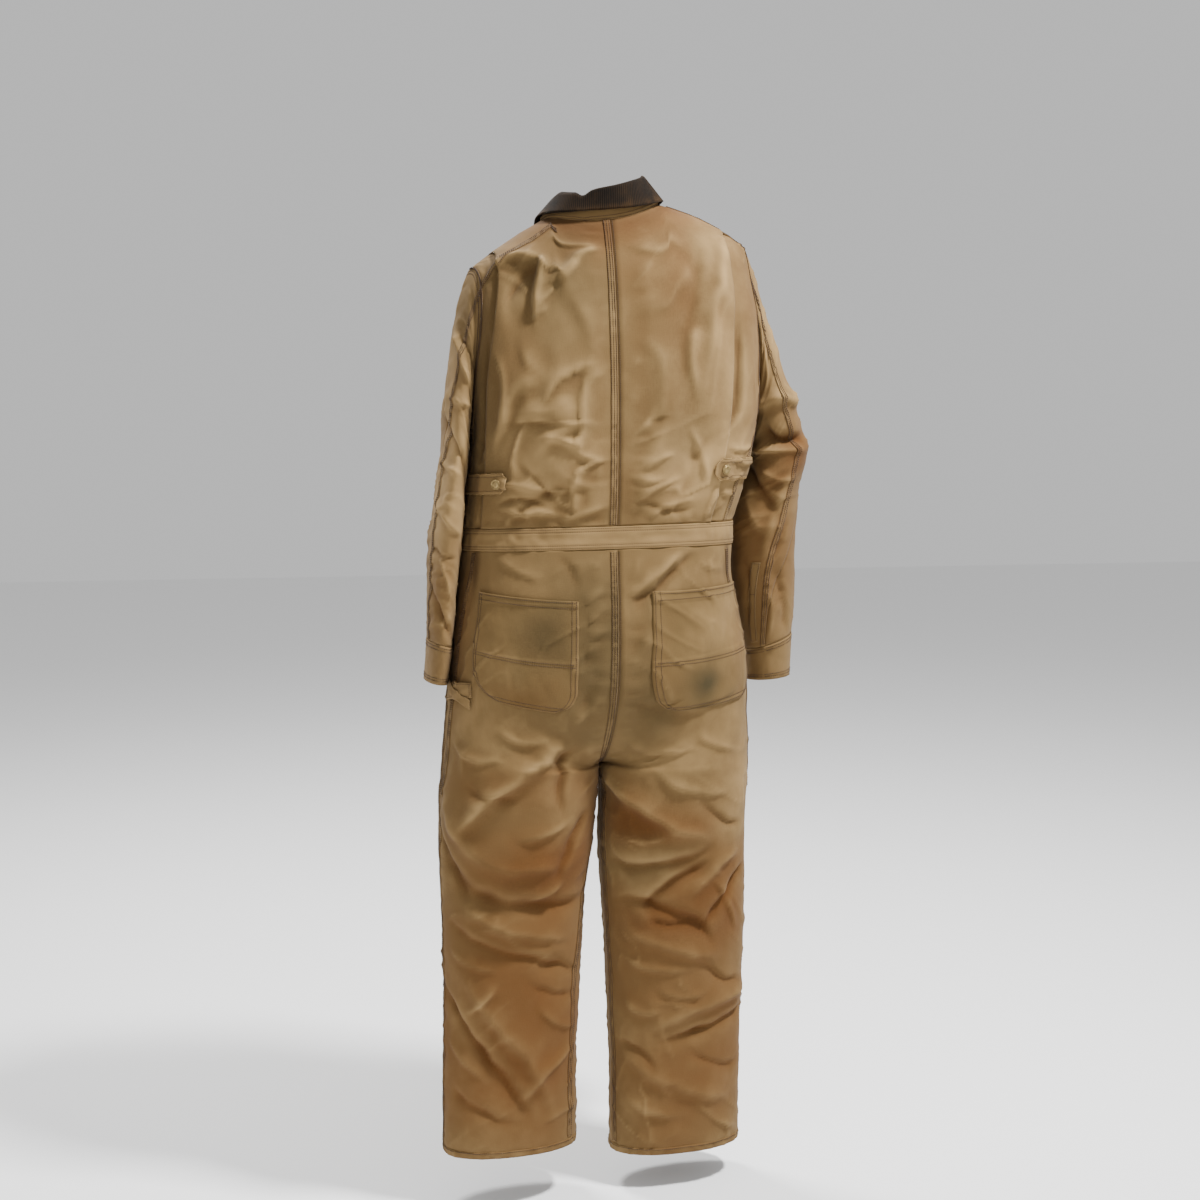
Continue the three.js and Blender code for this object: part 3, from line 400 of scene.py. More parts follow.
def crease_height(rows: Rows, across: Array, along: Array, steep: tuple[float, float]) -> Array:
    """Height of all creases at places of a flat panel, in millimetres.

    Each crease is steep on one side of its crest and runs out gently on the other.

    Args:
        rows: Start, end, bow, width and height of each crease.
        across: Place across the cloth.
        along: Place along the cloth.
        steep: Direction across and along in which the creases are steep.
    """
    height = np.zeros(np.shape(across))
    for x0, y0, x1, y1, bow, width, depth in rows:
        dx, dy = x1 - x0, y1 - y0
        length = math.hypot(dx, dy)
        t = ((across - x0) * dx + (along - y0) * dy) / (length * length)
        off = ((along - y0) * dx - (across - x0) * dy) / length - 4 * bow * t * (1 - t)
        off = off + CREASE_STRAY * smooth_noise(across / 26 + x0, along / 26 + y0, 6)
        fade = ease((t + 0.15) / 0.4) * ease((1.15 - t) / 0.4)
        wander = 1 + 0.3 * smooth_noise(across / 31 + x0, along / 31 + y0, 5)
        below = off * math.copysign(1, steep[1] * dx - steep[0] * dy) * math.copysign(1, depth)
        short = np.exp(-(np.abs(off) / (0.6 * width)) ** 1.8)
        gentle = np.exp(-(np.abs(off) / (1.2 * width)) ** 1.2)
        height += CREASE_GAIN * depth * fade * wander * np.where(below > 0, short, gentle)
    return height


def lean(points: Array) -> Array:
    """Lets the suit hang a little lower on the wearer's left shoulder."""
    points[..., 2] += smooth_read(TILT, 1, points[..., 2]) * points[..., 0]
    return points


@dataclass
class Panel:
    """A flat-cut panel laid on the suit's surface.

    The shares u and v run across and along it, and flat() gives the place on the cut cloth in millimetres.
    """

    side: Side
    face: Face = Face.BACK
    creases: Rows = ()
    seed: int = 1
    u_range: tuple[float, float] = (0.0, 1.0)
    v_range: tuple[float, float] = (0.0, 1.0)
    turn: int = field(init=False)

    def __post_init__(self) -> None:
        """Works out which way the panel's outside lies."""
        self.turn = -self.side.value * self.face.value

    def point(self, u: Array, v: Array) -> Array:
        """Smooth surface without creases."""
        raise NotImplementedError

    def flat(self, u: Array, v: Array) -> tuple[Array, Array]:
        """Place on the flat cloth, across and along."""
        raise NotImplementedError

    def height(self, u: Array, v: Array) -> Array:
        """Height of the creases over the smooth surface."""
        raise NotImplementedError

    def crumple(self, across: Array, along: Array) -> Array:
        """Shallow uneven dents and a net of small soft ridges, as in washed cloth."""
        dents = 1.3 * smooth_noise(across / 47, along / 58, self.seed)
        ripple = smooth_noise((across + 0.5 * along) / 21, (along - 0.4 * across) / 27, self.seed + 1)
        bend = 9 * smooth_noise(across / 24, along / 24, self.seed + 3)
        net = smooth_noise((across + bend) / 52, (along + 0.6 * across) / 34, self.seed + 4)
        sharp = (1 - np.abs(net)) ** 7 * ease(0.3 + 1.4 * smooth_noise(across / 70, along / 70, self.seed + 5))
        return dents + 0.6 * ripple + 2.6 * sharp + 0.25 * smooth_noise(across / 9, along / 11, self.seed + 2)

    def skin(self, u: Array, v: Array, off: Array | float = 0.0) -> tuple[Array, Array]:
        """Creased surface, lifted along its outward direction.

        Args:
            u: Shares across.
            v: Shares along.
            off: Lift in millimetres.

        Returns:
            The points and the outward directions.
        """
        u, v, off = np.broadcast_arrays(np.asarray(u, float), np.asarray(v, float), np.asarray(off, float))
        step = 0.004
        inner_u = np.clip(u, self.u_range[0] + step, self.u_range[1] - step)
        inner_v = np.clip(v, self.v_range[0] + step, self.v_range[1] - step)
        across = self.point(inner_u + step, inner_v) - self.point(inner_u - step, inner_v)
        along = self.point(inner_u, inner_v + step) - self.point(inner_u, inner_v - step)
        out = unit(np.cross(across, along)) * self.turn
        fine = 0.0022
        rise_u = (self.height(inner_u + fine, inner_v) - self.height(inner_u - fine, inner_v)) * (step / fine)
        rise_v = (self.height(inner_u, inner_v + fine) - self.height(inner_u, inner_v - fine)) * (step / fine)
        creased = np.cross(across + out * rise_u[..., None], along + out * rise_v[..., None])
        normal = unit(creased) * self.turn
        points = self.point(u, v) + out * self.height(u, v)[..., None] + normal * off[..., None]
        return points, normal


class TrunkPanel(Panel):
    """Quarter of the trunk: u from the centre to the side, v from the waistband to the shoulder."""

    def base(self, u: Array, v: Array) -> Array:
        """Surface of the filled-out trunk."""
        half = 1 if self.side is Side.LEFT else 2
        depth = 3 if self.face is Face.BACK else 4
        share = np.sin(np.clip(u, 0, 1) * math.pi / 2) ** (2 / TRUNK_ROUND)
        w = np.clip((v - V_ARM) / (1 - V_ARM), 0, 1)
        at_shoulder = float(smooth_read(TRUNK, half, SHOULDER))
        neck = np.clip(at_shoulder * share / NECK_HALF, 0, 1)
        drop = math.radians(NECK_DROP[self.face])
        angle = w * math.pi / 2 - w**1.5 * drop * np.sqrt(1 - neck * neck)
        rise = np.maximum(np.sin(angle), 0) ** (2 / DOME)
        low = BAND_TOP + (UNDERARM - BAND_TOP) * np.clip(v / V_ARM, 0, 1)
        level = np.where(w > 0, UNDERARM + (SHOULDER - UNDERARM) * rise, low)
        width = smooth_read(TRUNK, half, level)
        x = width * share * np.where(w > 0, smooth_read(ARMHOLE, half, w), 1)
        ridge = RIDGE_TOP - RIDGE_FALL * (x / at_shoulder) ** 1.75
        z = np.where(w > 0, UNDERARM + (ridge - UNDERARM) * rise, low)
        rounded = np.where(w > 0, np.clip(np.cos(angle), 0, 1) ** (2 / DOME), 1)
        square = smooth_read(TRUNK, 5, level)
        bulge = np.clip(1 - (x / width) ** square, 0, 1) ** (1 / square)
        y = smooth_read(TRUNK, depth, level) * bulge * rounded
        return lean(np.stack([self.side.value * x, self.face.value * y, z], -1))

    def point(self, u: Array, v: Array) -> Array:
        """Smooth surface with the gap for the zip or the seam."""
        points = self.base(*np.broadcast_arrays(u, v))
        gap = ZIP_GAP if self.face is Face.FRONT else SEAM
        points[..., 0] += self.side.value * gap * np.clip(1 - np.abs(points[..., 0]) / 120, 0, 1)
        points[..., 1] += self.face.value * SEAM
        return points

    def flat(self, u: Array, v: Array) -> tuple[Array, Array]:
        """Place on the flat cloth, counted from the side seam and up from the waistband."""
        return self.face.value * (1 - u) * TRUNK_FLAT[0], v * TRUNK_FLAT[1]

    def height(self, u: Array, v: Array) -> Array:
        """Creases and the puckers of the centre and waist seams."""
        u, v = np.broadcast_arrays(u, v)
        edge = ease(u * TRUNK_FLAT[0] / 28) * ease(v / 0.05) * ease((1 - v) / 0.06)
        side_seam = np.maximum(ease((V_ARM - v) / 0.08), ease((1 - u) / 0.07))
        across, along = self.flat(u, v)
        pucker = hump(u * TRUNK_FLAT[0], 17, 9) * smooth_noise(along / 11, u * 0, self.seed + 7)
        waist = 1.6 * hump(along, 12, 9) * smooth_noise(across / 12, v * 0, self.seed + 8)
        folded = crease_height(self.creases, across, along, (-0.8 * self.side.value, -1))
        folded = folded + self.crumple(across, along)
        seams = (pucker + waist) * ease(u * 40)
        return edge * side_seam * folded + seams * ease(v / 0.02) * ease((1 - v) / 0.06)


class LegPanel(Panel):
    """Half of a leg: u from the side seam to the seat seam or inseam, v from the waistband to the hem."""

    def base(self, u: Array, v: Array) -> Array:
        """Surface of the filled-out leg."""
        outer = 1 if self.side is Side.LEFT else 3
        depth = 5 if self.face is Face.BACK else 6
        hem = HEM[self.side]
        level = BAND_LOW + (hem - BAND_LOW) * v
        seat_depth = float(smooth_read(LEGS, depth, SEAT_TURN))
        straight = BAND_LOW - SEAT_TURN
        arc = math.pi / 2 * math.sqrt((seat_depth**2 + (SEAT_TURN - CROTCH) ** 2) / 2)
        run = np.clip(v / V_CROTCH, 0, 1) * (straight + arc)
        angle = np.clip((run - straight) / arc, 0, 1) * math.pi / 2
        bent = run > straight
        seam = np.where(bent, SEAT_TURN + (CROTCH - SEAT_TURN) * np.sin(angle), BAND_LOW - run)
        below = v > V_CROTCH
        seam = np.where(below, CROTCH + (hem - CROTCH) * (v - V_CROTCH) / (1 - V_CROTCH), seam)
        hip = np.where(below, 0.0, np.where(bent, np.cos(angle), 1.0))
        z = level + (seam - level) * ease(u)
        inner = smooth_read(LEGS, outer + 1, seam)
        b = smooth_read(LEGS, depth, np.where(below, z, level))
        turn = np.clip(u, 0, 1) * math.pi / 2
        tube = (1 - hip) * (1 + power(np.cos(2 * turn), 2 / LEG_ROUND)) / 2
        share_x = hip * np.maximum(np.cos(turn), 0) ** HIP_POWER + tube
        share_y = hip * np.sin(turn) ** HIP_POWER + (1 - hip) * np.abs(np.sin(2 * turn)) ** (2 / LEG_ROUND)
        x = inner + (smooth_read(LEGS, outer, level) - inner) * share_x
        return lean(np.stack([x, self.face.value * b * share_y, z], -1))

    def point(self, u: Array, v: Array) -> Array:
        """Smooth surface with the fly gap and the open side slit."""
        u, v = np.broadcast_arrays(u, v)
        points = self.base(u, v)
        is_open = 1 - ease((ZIP_END + 10 - points[..., 2]) / 20) if self.face is Face.FRONT else 0
        gap = SEAM + (ZIP_GAP - SEAM) * is_open
        slit = SLIT_OPEN * ease((SLIT_DEPTH - v) / 0.03) * ease(v / 0.012) * (1 - ease(u / 0.09))
        points[..., 0] += self.side.value * gap * np.clip(1 - np.abs(points[..., 0]) / 120, 0, 1)
        points[..., 1] += self.face.value * (SEAM + slit)
        return points

    def flat(self, u: Array, v: Array) -> tuple[Array, Array]:
        """Place on the flat cloth, counted from the side seam and down from the waistband."""
        return self.face.value * u * LEG_FLAT[0], v * LEG_FLAT[1]

    def height(self, u: Array, v: Array) -> Array:
        """Creases and the puckers of the seat seam, inseam, side seam and hem."""
        u, v = np.broadcast_arrays(u, v)
        edge = ease((1 - u) * LEG_FLAT[0] / 30) * ease(v / 0.02) * ease((1 - v) / 0.03)
        across, along = self.flat(u, v)
        inner = (1 - u) * LEG_FLAT[0]
        ribs = smooth_noise(along / 7.5, u * 0, self.seed + 7)
        seat = 1.5 * hump(inner, 15, 8) * ribs * ease(inner / 5)
        outer = u * LEG_FLAT[0]
        side = 0.9 * hump(outer, 12, 9) * ribs * ease(outer / 4)
        hem = 1.3 * hump(LEG_FLAT[1] - along, 8, 9) * smooth_noise(across / 11 - along / 14, v * 0, self.seed)
        folded = crease_height(self.creases, across, along, (-0.5 * self.side.value, 1))
        folded = folded + self.crumple(across, along)
        seams = (seat + side) * ease(v / 0.01) * ease((1 - v) / 0.01)
        return edge * folded + seams + hem * ease(outer / 6) * ease(inner / 6)


class SleevePanel(Panel):
    """Whole sleeve: u counts half turns from the long seam past the back, v runs from armhole to cuff."""

    def __post_init__(self) -> None:
        """Works out which way the sleeve's outside lies."""
        self.turn = -self.side.value
        self.u_range = (-1.0, 3.0)
        self.v_range = (0.0, T_END)

    def ring(self, angle: Array, t: Array) -> Array:
        """Cross-section of the lower sleeve."""
        z, cx, cy, a, b, slope, twist, square = (smooth_read(SLEEVES[self.side], k, t) for k in range(1, 9))
        phase = angle + np.radians(twist)
        out = a * power(np.cos(phase), 2 / square)
        lift = np.radians(slope)
        x = cx + self.side.value * out * np.cos(lift)
        return np.stack([x, cy + b * power(np.sin(phase), 2 / square), z + out * np.sin(lift)], -1)

    def armhole(self, angle: Array) -> Array:
        """Edge of the trunk that the sleeve is set into."""
        turn = np.mod(angle, 2 * math.pi)
        w = np.where(turn <= math.pi, 1 - turn / math.pi, turn / math.pi - 1)
        v = V_ARM + w * (1 - V_ARM)
        back = TrunkPanel(self.side, Face.BACK).base(np.ones_like(v), v)
        front = TrunkPanel(self.side, Face.FRONT).base(np.ones_like(v), v)
        return np.where((turn <= math.pi)[..., None], back, front)

    def point(self, u: Array, v: Array) -> Array:
        """Smooth surface that eases from the armhole into the rings."""
        u, t = np.broadcast_arrays(u, v)
        angle = u * math.pi
        q = np.clip(t / T_HEAD, 0, 1)[..., None]
        under = (1 - np.cos(angle)) / 2
        s = self.side.value
        reach = 0.42 if self.side is Side.LEFT else 0.38
        first = (250 * (1 - under) + 40 * under)[..., None]
        zero = np.zeros_like(under)
        start = np.stack([s * (reach - (reach - 0.2) * under), zero, -(0.85 + 0.1 * under)], -1)
        last = (330 * (1 - under) + 50 * under)[..., None]
        swing = (0.06 if self.side is Side.LEFT else 0.42) * (1 - under)
        end = np.stack([s * swing, zero, -np.sqrt(1 - swing * swing)], -1)
        head = (
            self.armhole(angle) * (2 * q**3 - 3 * q**2 + 1)
            + start * first * (q**3 - 2 * q**2 + q)
            + self.ring(angle, np.full_like(t, T_HEAD)) * (3 * q**2 - 2 * q**3)
            + end * last * (q**3 - q**2)
        )
        return np.where((t >= T_HEAD)[..., None], self.ring(angle, np.maximum(t, T_HEAD)), head)

    def flat(self, u: Array, v: Array) -> tuple[Array, Array]:
        """Place on the flat cloth, counted from the long seam, with the back positive."""
        return np.where(u > 1, u - 2, u) * SLEEVE_FLAT[0], v * SLEEVE_FLAT[1]

    def height(self, u: Array, v: Array) -> Array:
        """Creases of the whole sleeve, which run on across its seams."""
        u, v = np.broadcast_arrays(u, v)
        across, along = self.flat(u, v)
        wrapped = np.where(u > 1, u, u - 2) * SLEEVE_FLAT[0]
        edge = ease(v / 0.06) * ease((1.0 - v) / 0.05)
        steep = (-0.5 * self.side.value, 1)
        both = crease_height(self.creases, across, along, steep)
        both = both + crease_height(self.creases, wrapped, along, steep)
        around = 60 * np.cos(u * math.pi)
        around_two = 60 * np.sin(u * math.pi)
        dents = self.crumple(around + along, around_two + along)
        ribs = hump(np.abs(across), 13, 8) * smooth_noise(along / 9, u * 0, self.seed + 7)
        return edge * (both + dents + 0.7 * ribs)


def inset(panel: Panel, edge: float, distance: float, v: Array) -> Array:
    """Share across at a real distance from an edge of a panel.

    Args:
        panel: The panel.
        edge: The edge's share across, 0 or 1.
        distance: Distance over the surface, in millimetres.
        v: Shares along.

    Returns:
        The shares across, one for each v.
    """
    v = np.atleast_1d(np.asarray(v, float))
    reach = np.linspace(0, 1, 70) ** 2 * 0.6
    shares = edge + reach * (1 if edge < 0.5 else -1)
    points = panel.point(shares[None, :], v[:, None])
    gone = np.linalg.norm(np.diff(points, axis=1), axis=-1)
    run = np.concatenate([np.zeros((len(v), 1)), np.cumsum(gone, axis=1)], axis=1)
    return np.array([np.interp(distance, row, shares) for row in run])


def soften(grid: Array, passes: int) -> Array:
    """Grid averaged with its neighbours several times."""
    for _ in range(passes):
        wide = np.pad(grid, 1, mode="edge")
        grid = (wide[:-2, 1:-1] + wide[2:, 1:-1] + wide[1:-1, :-2] + wide[1:-1, 2:] + 2 * wide[1:-1, 1:-1]) / 6
    return grid


def tint_of(patches: Sequence[tuple], across: Array, along: Array) -> Array:
    """Strength of each tone at places of a flat panel.

    Args:
        patches: Rows of across, along, radius across, radius along, tone and strength.
        across: Places across, in millimetres.
        along: Places along, in millimetres.

    Returns:
        Four strengths for each place, in the order of Tone.
    """
    strengths = np.zeros((*np.shape(across), 4))
    for x, y, rx, ry, tone, strength in patches:
        ragged = 1 + 0.35 * smooth_noise(across / (0.5 * rx + 9), along / (0.5 * ry + 9), int(x + y) % 97)
        reach = np.hypot((across - x) / rx, (along - y) / ry) * ragged
        strengths[..., tone.value] += strength * np.exp(-(reach**2))
    return strengths


@dataclass
class Cloth:
    """Mesh of one cloth piece, gathered shell by shell."""

    name: str
    patches: Sequence[tuple] = ()
    points: list[Array] = field(default_factory=list)
    faces: list[Array] = field(default_factory=list)
    flats: list[Array] = field(default_factory=list)
    ridges: list[Array] = field(default_factory=list)
    tints: list[Array] = field(default_factory=list)
    count: int = 0

    def add_grid(self, outer: Array, inner: Array, flat: Array, ridge: Array, closed: bool = False) -> None:
        """Adds a closed wall between two grids of points.

        Args:
            outer: Outer points, columns by rows.
            inner: Inner points in the same order.
            flat: Place on the flat cloth for each point.
            ridge: How far each point stands above or below the cloth round it, which pales the crests and
                paints shade into the hollows.
            closed: Whether the last column is the first one again.
        """
        size = outer.shape[0] * outer.shape[1]
        number = np.arange(size).reshape(outer.shape[:2])
        if closed:
            number[-1] = number[0]
        a, b, c, d = number[:-1, :-1], number[1:, :-1], number[1:, 1:], number[:-1, 1:]
        top = np.stack([a, b, c, d], -1).reshape(-1, 4)
        under = np.stack([a, d, c, b], -1).reshape(-1, 4) + size
        low, high = number[:, 0], number[:, -1]
        rims = [
            np.stack([low[:-1], low[:-1] + size, low[1:] + size, low[1:]], -1),
            np.stack([high[:-1], high[1:], high[1:] + size, high[:-1] + size], -1),
        ]
        if not closed:
            first, last = number[0], number[-1]
            rims.append(np.stack([first[:-1], first[1:], first[1:] + size, first[:-1] + size], -1))
            rims.append(np.stack([last[:-1], last[:-1] + size, last[1:] + size, last[1:]], -1))
        faces = np.concatenate([top, under, *rims])
        points = np.concatenate([outer.reshape(-1, 3), inner.reshape(-1, 3)])
        p, q, r, s = (points[faces[:, k]] for k in range(4))
        volume = np.einsum("ij,ij->", p, np.cross(q, r)) + np.einsum("ij,ij->", p, np.cross(r, s))
        if volume < 0:
            faces = faces[:, ::-1]
        used = np.unique(faces)
        renumber = np.zeros(2 * size, int)
        renumber[used] = np.arange(len(used))
        self.faces.append(renumber[faces] + self.count)
        self.points.append(points[used])
        both = lambda grid, width: np.concatenate([grid.reshape(-1, width)] * 2)[used]
        self.flats.append(both(flat, 2))
        self.ridges.append(both(ridge, 1)[:, 0])
        self.tints.append(both(tint_of(self.patches, flat[..., 0], flat[..., 1]), 4))
        self.count += len(used)

    def add(
        self,
        panel: Panel,
        place: Place,
        columns: int,
        rows: int,
        off: Lift = flush,
        thick: float = SHELL,
        closed: bool = False,
        ridge: Array | float = 0.0,
    ) -> None:
        """Adds a shell that lies on a panel.

        Args:
            panel: The panel below.
            place: Turns shares of the shell into shares of the panel.
            columns: Faces across.
            rows: Faces along.
            off: Lift over the panel at each place, in millimetres.
            thick: Thickness in millimetres.
            closed: Whether the shell runs right round.
            ridge: Wear to add to the creases' colouring, which pales the crests as wear and darkens the
                hollows as painted shade.
        """
        a, b = np.meshgrid(np.linspace(0, 1, columns + 1), np.linspace(0, 1, rows + 1), indexing="ij")
        u, v = place(a, b)
        lift = np.broadcast_to(np.asarray(off(u, v), float), u.shape)
        outer, normal = panel.skin(u, v, lift)
        height = panel.height(u, v)
        # High-pass of the crease height: crests are paled as wear, hollows darkened as painted shade
        worn = height - soften(height, 14) + ridge
        self.add_grid(outer, outer - normal * thick, np.stack(panel.flat(u, v), -1), worn, closed)

    def make(self, material: bpy.types.Material) -> bpy.types.Object:
        """Turns what was gathered into an object in metres.

        Args:
            material: The cloth's finish.

        Returns:
            The new object.
        """
        points = np.concatenate(self.points) * MM
        faces = np.concatenate(self.faces)
        mesh = bpy.data.meshes.new(self.name)
        mesh.from_pydata(points.tolist(), [], faces.tolist())
        mesh.update()
        loops = np.empty(len(mesh.loops), np.int32)
        mesh.loops.foreach_get("vertex_index", loops)
        flat = np.concatenate(self.flats)[loops] * MM
        mesh.uv_layers.new(name="flat").data.foreach_set("uv", flat.astype(np.float32).ravel())
        ridge = mesh.attributes.new("ridge", "FLOAT", "POINT")
        ridge.data.foreach_set("value", np.concatenate(self.ridges).astype(np.float32))
        tint = mesh.attributes.new("tint", "FLOAT_COLOR", "POINT")
        tint.data.foreach_set("color", np.concatenate(self.tints).astype(np.float32).ravel())
        mesh.polygons.foreach_set("use_smooth", np.ones(len(mesh.polygons), bool))
        mesh.materials.append(material)
        mesh.validate()
        made = bpy.data.objects.new(self.name, mesh)
        bpy.context.scene.collection.objects.link(made)
        return made


@dataclass
class Stitching:
    """Rows of single thread stitches, gathered into one mesh."""

    name: str
    pitch: float = 3.7
    length: float = 3.0
    width: float = 1.2
    proud: float = 0.6
    points: list[Array] = field(default_factory=list)
    count: int = 0

    def row(self, panel: Panel, path: Path, off: float | Lift = 0.0) -> None:
        """Sews one row along a path on a panel.

        Args:
            panel: The panel that is sewn.
            path: Turns a share of the path into shares of the panel.
            off: Lift of the cloth at the row, in millimetres.
        """
        u, v = path(np.linspace(0, 1, 500))
        lift = off(u, v) if callable(off) else off
        line, out = panel.skin(u, v, lift)
        self.line(line, out)

    def line(self, line: Array, out: Array) -> None:
        """Sews one row along points with their outward directions."""
        gone = np.concatenate([[0], np.cumsum(np.linalg.norm(np.diff(line, axis=0), axis=1))])
        number = int(gone[-1] / self.pitch)
        if number < 1:
            return
        middle = (np.arange(number) + 0.5) * self.pitch
        at = lambda d, values: np.stack([np.interp(d, gone, values[:, k]) for k in range(3)], -1)
        centre, normal = at(middle, line), unit(at(middle, out))
        start, end = at(middle - self.length / 2, line), at(middle + self.length / 2, line)
        across = unit(np.cross(end - start, normal)) * self.width / 2
        top = centre + normal * self.proud
        corners = [start - across, start + across, end + across, end - across]
        crown = [mix(top, c, 0.55) + normal * self.proud * 0.45 for c in corners]
        sunk = [c - normal * 0.35 for c in corners]
        self.points.append(np.stack(sunk + crown, 1).reshape(-1, 3))
        self.count += number

    def block(self, ends: Array, out: Array, width: float, high: float) -> None:
        """Adds one small bar between two points.

        Args:
            ends: The two ends.
            out: The direction in which it is high.
            width: Width in millimetres.
            high: Height in millimetres.
        """
        across = unit(np.cross(ends[1] - ends[0], out)) * width / 2
        base = np.stack([ends[0] - across, ends[0] + across, ends[1] + across, ends[1] - across])
        crown = mix(base.mean(0), base, 0.8) + out * high
        self.points.append(np.concatenate([base, crown]))
        self.count += 1

    def make(self, material: bpy.types.Material) -> bpy.types.Object:
        """Turns the rows into an object in metres."""
        points = np.concatenate(self.points) * MM
        one = np.array([(3, 2, 1, 0), (4, 5, 6, 7), (0, 1, 5, 4), (1, 2, 6, 5), (2, 3, 7, 6), (3, 0, 4, 7)])
        faces = (one[None] + 8 * np.arange(self.count)[:, None, None]).reshape(-1, 4)
        p, q, r = (points[one[:, k]] for k in range(3))
        centre = points[:8].mean(0)
        if np.einsum("ij,ij->", p - centre, np.cross(q - p, r - p)) < 0:
            faces = faces[:, ::-1]
        mesh = bpy.data.meshes.new(self.name)
        mesh.from_pydata(points.tolist(), [], faces.tolist())
        mesh.update()
        mesh.polygons.foreach_set("use_smooth", np.ones(len(mesh.polygons), bool))
        mesh.materials.append(material)
        made = bpy.data.objects.new(self.name, mesh)
        bpy.context.scene.collection.objects.link(made)
        return made


def plug(tree: bpy.types.NodeTree, place: bpy.types.NodeSocket, value: object) -> None:
    """Gives an input a link or a fixed value."""
    if isinstance(value, Socket):
        tree.links.new(value.link, place)
    else:
        place.default_value = value


class Socket:
    """A shader socket that takes part in Python sums."""

    def __init__(self, tree: bpy.types.NodeTree, link: bpy.types.NodeSocket) -> None:
        """Keeps the socket and its node tree."""
        self.tree = tree
        self.link = link

    def _math(self, operation: str, first: "Socket | float", second: "Socket | float") -> "Socket":
        """One Math node on two values."""
        made = self.tree.nodes.new("ShaderNodeMath")
        made.operation = operation
        for place, value in zip(made.inputs, (first, second)):
            plug(self.tree, place, value)
        return Socket(self.tree, made.outputs[0])

    def __add__(self, other: "Socket | float") -> "Socket":
        """Sum."""
        return self._math("ADD", self, other)

    def __radd__(self, other: float) -> "Socket":
        """Sum with a number first."""
        return self._math("ADD", other, self)

    def __sub__(self, other: "Socket | float") -> "Socket":
        """Difference."""
        return self._math("SUBTRACT", self, other)

    def __rsub__(self, other: float) -> "Socket":
        """Difference with a number first."""
        return self._math("SUBTRACT", other, self)

    def __mul__(self, other: "Socket | float") -> "Socket":
        """Product."""
        return self._math("MULTIPLY", self, other)

    def __rmul__(self, other: float) -> "Socket":
        """Product with a number first."""
        return self._math("MULTIPLY", other, self)

    def __pow__(self, other: float) -> "Socket":
        """Power."""
        return self._math("POWER", self, other)

    def held(self) -> "Socket":
        """The value kept from 0 to 1."""
        return self._math("MINIMUM", self._math("MAXIMUM", self, 0.0), 1.0)


class Shader:
    """One material and its nodes."""

    def __init__(self, name: str) -> None:
        """Makes an empty material."""
        self.material = bpy.data.materials.new(name)
        self.material.use_nodes = True
        self.tree = self.material.node_tree
        self.tree.nodes.clear()

    def node(self, kind: str, settings: dict | None = None, **sockets: object) -> bpy.types.Node:
        """Makes one node.

        Args:
            kind: The node's type without its ShaderNode prefix.
            settings: Properties that are set first.
            sockets: Values or links by socket name, with underscores for spaces.

        Returns:
            The node.
        """
        made = self.tree.nodes.new("ShaderNode" + kind)
        for key, value in (settings or {}).items():
            setattr(made, key, value)
        for key, value in sockets.items():
            plug(self.tree, made.inputs[key.replace("_", " ")], value)
        return made

    def out(self, node: bpy.types.Node, name: str | int = 0) -> Socket:
        """One output of a node."""
        return Socket(self.tree, node.outputs[name])

    def attribute(self, name: str, output: str = "Fac") -> Socket:
        """A mesh attribute."""
        return self.out(self.node("Attribute", {"attribute_name": name}), output)

    def noise(self, where: Socket, scale: float, detail: float = 3.0, rough: float = 0.5) -> Socket:
        """Noise from 0 to 1."""
        made = self.node("TexNoise", None, Vector=where, Scale=scale, Detail=detail, Roughness=rough)
        return self.out(made, "Fac")

    def stretched(self, where: Socket, scale: tuple[float, float, float]) -> Socket:
        """Coordinates with their own scale on each axis."""
        return self.out(self.node("Mapping", None, Vector=where, Scale=scale))

    def blend(self, share: Socket | float, first: Socket | tuple, second: Socket | tuple) -> Socket:
        """Mix of two colours."""
        made = self.tree.nodes.new("ShaderNodeMix")
        made.data_type = "RGBA"
        for place, value in ((made.inputs[0], share), (made.inputs[6], first), (made.inputs[7], second)):
            plug(self.tree, place, value)
        return Socket(self.tree, made.outputs[2])

    def finish(
        self, bump: Socket | None, distance: float, strength: float, **sockets: object
    ) -> bpy.types.Material:
        """Closes the material with a Principled shader and a Bump node.

        Args:
            bump: Height for the bump, or None.
            distance: Height of the bump in metres.
            strength: Strength of the bump.
            sockets: Values or links of the Principled shader.

        Returns:
            The material.
        """
        body = self.node("BsdfPrincipled", None, **sockets)
        if bump is not None:
            relief = self.node("Bump", None, Height=bump, Distance=distance, Strength=strength)
            self.tree.links.new(relief.outputs[0], body.inputs["Normal"])
        output = self.tree.nodes.new("ShaderNodeOutputMaterial")
        self.tree.links.new(body.outputs[0], output.inputs[0])
        return self.material


def srgb(red: int, green: int, blue: int) -> tuple[float, float, float, float]:
    """Colour for a socket from its usual 0 to 255 values."""
    line = lambda c: c / 12.92 if c <= 0.04045 else ((c + 0.055) / 1.055) ** 2.4
    return line(red / 255), line(green / 255), line(blue / 255), 1.0


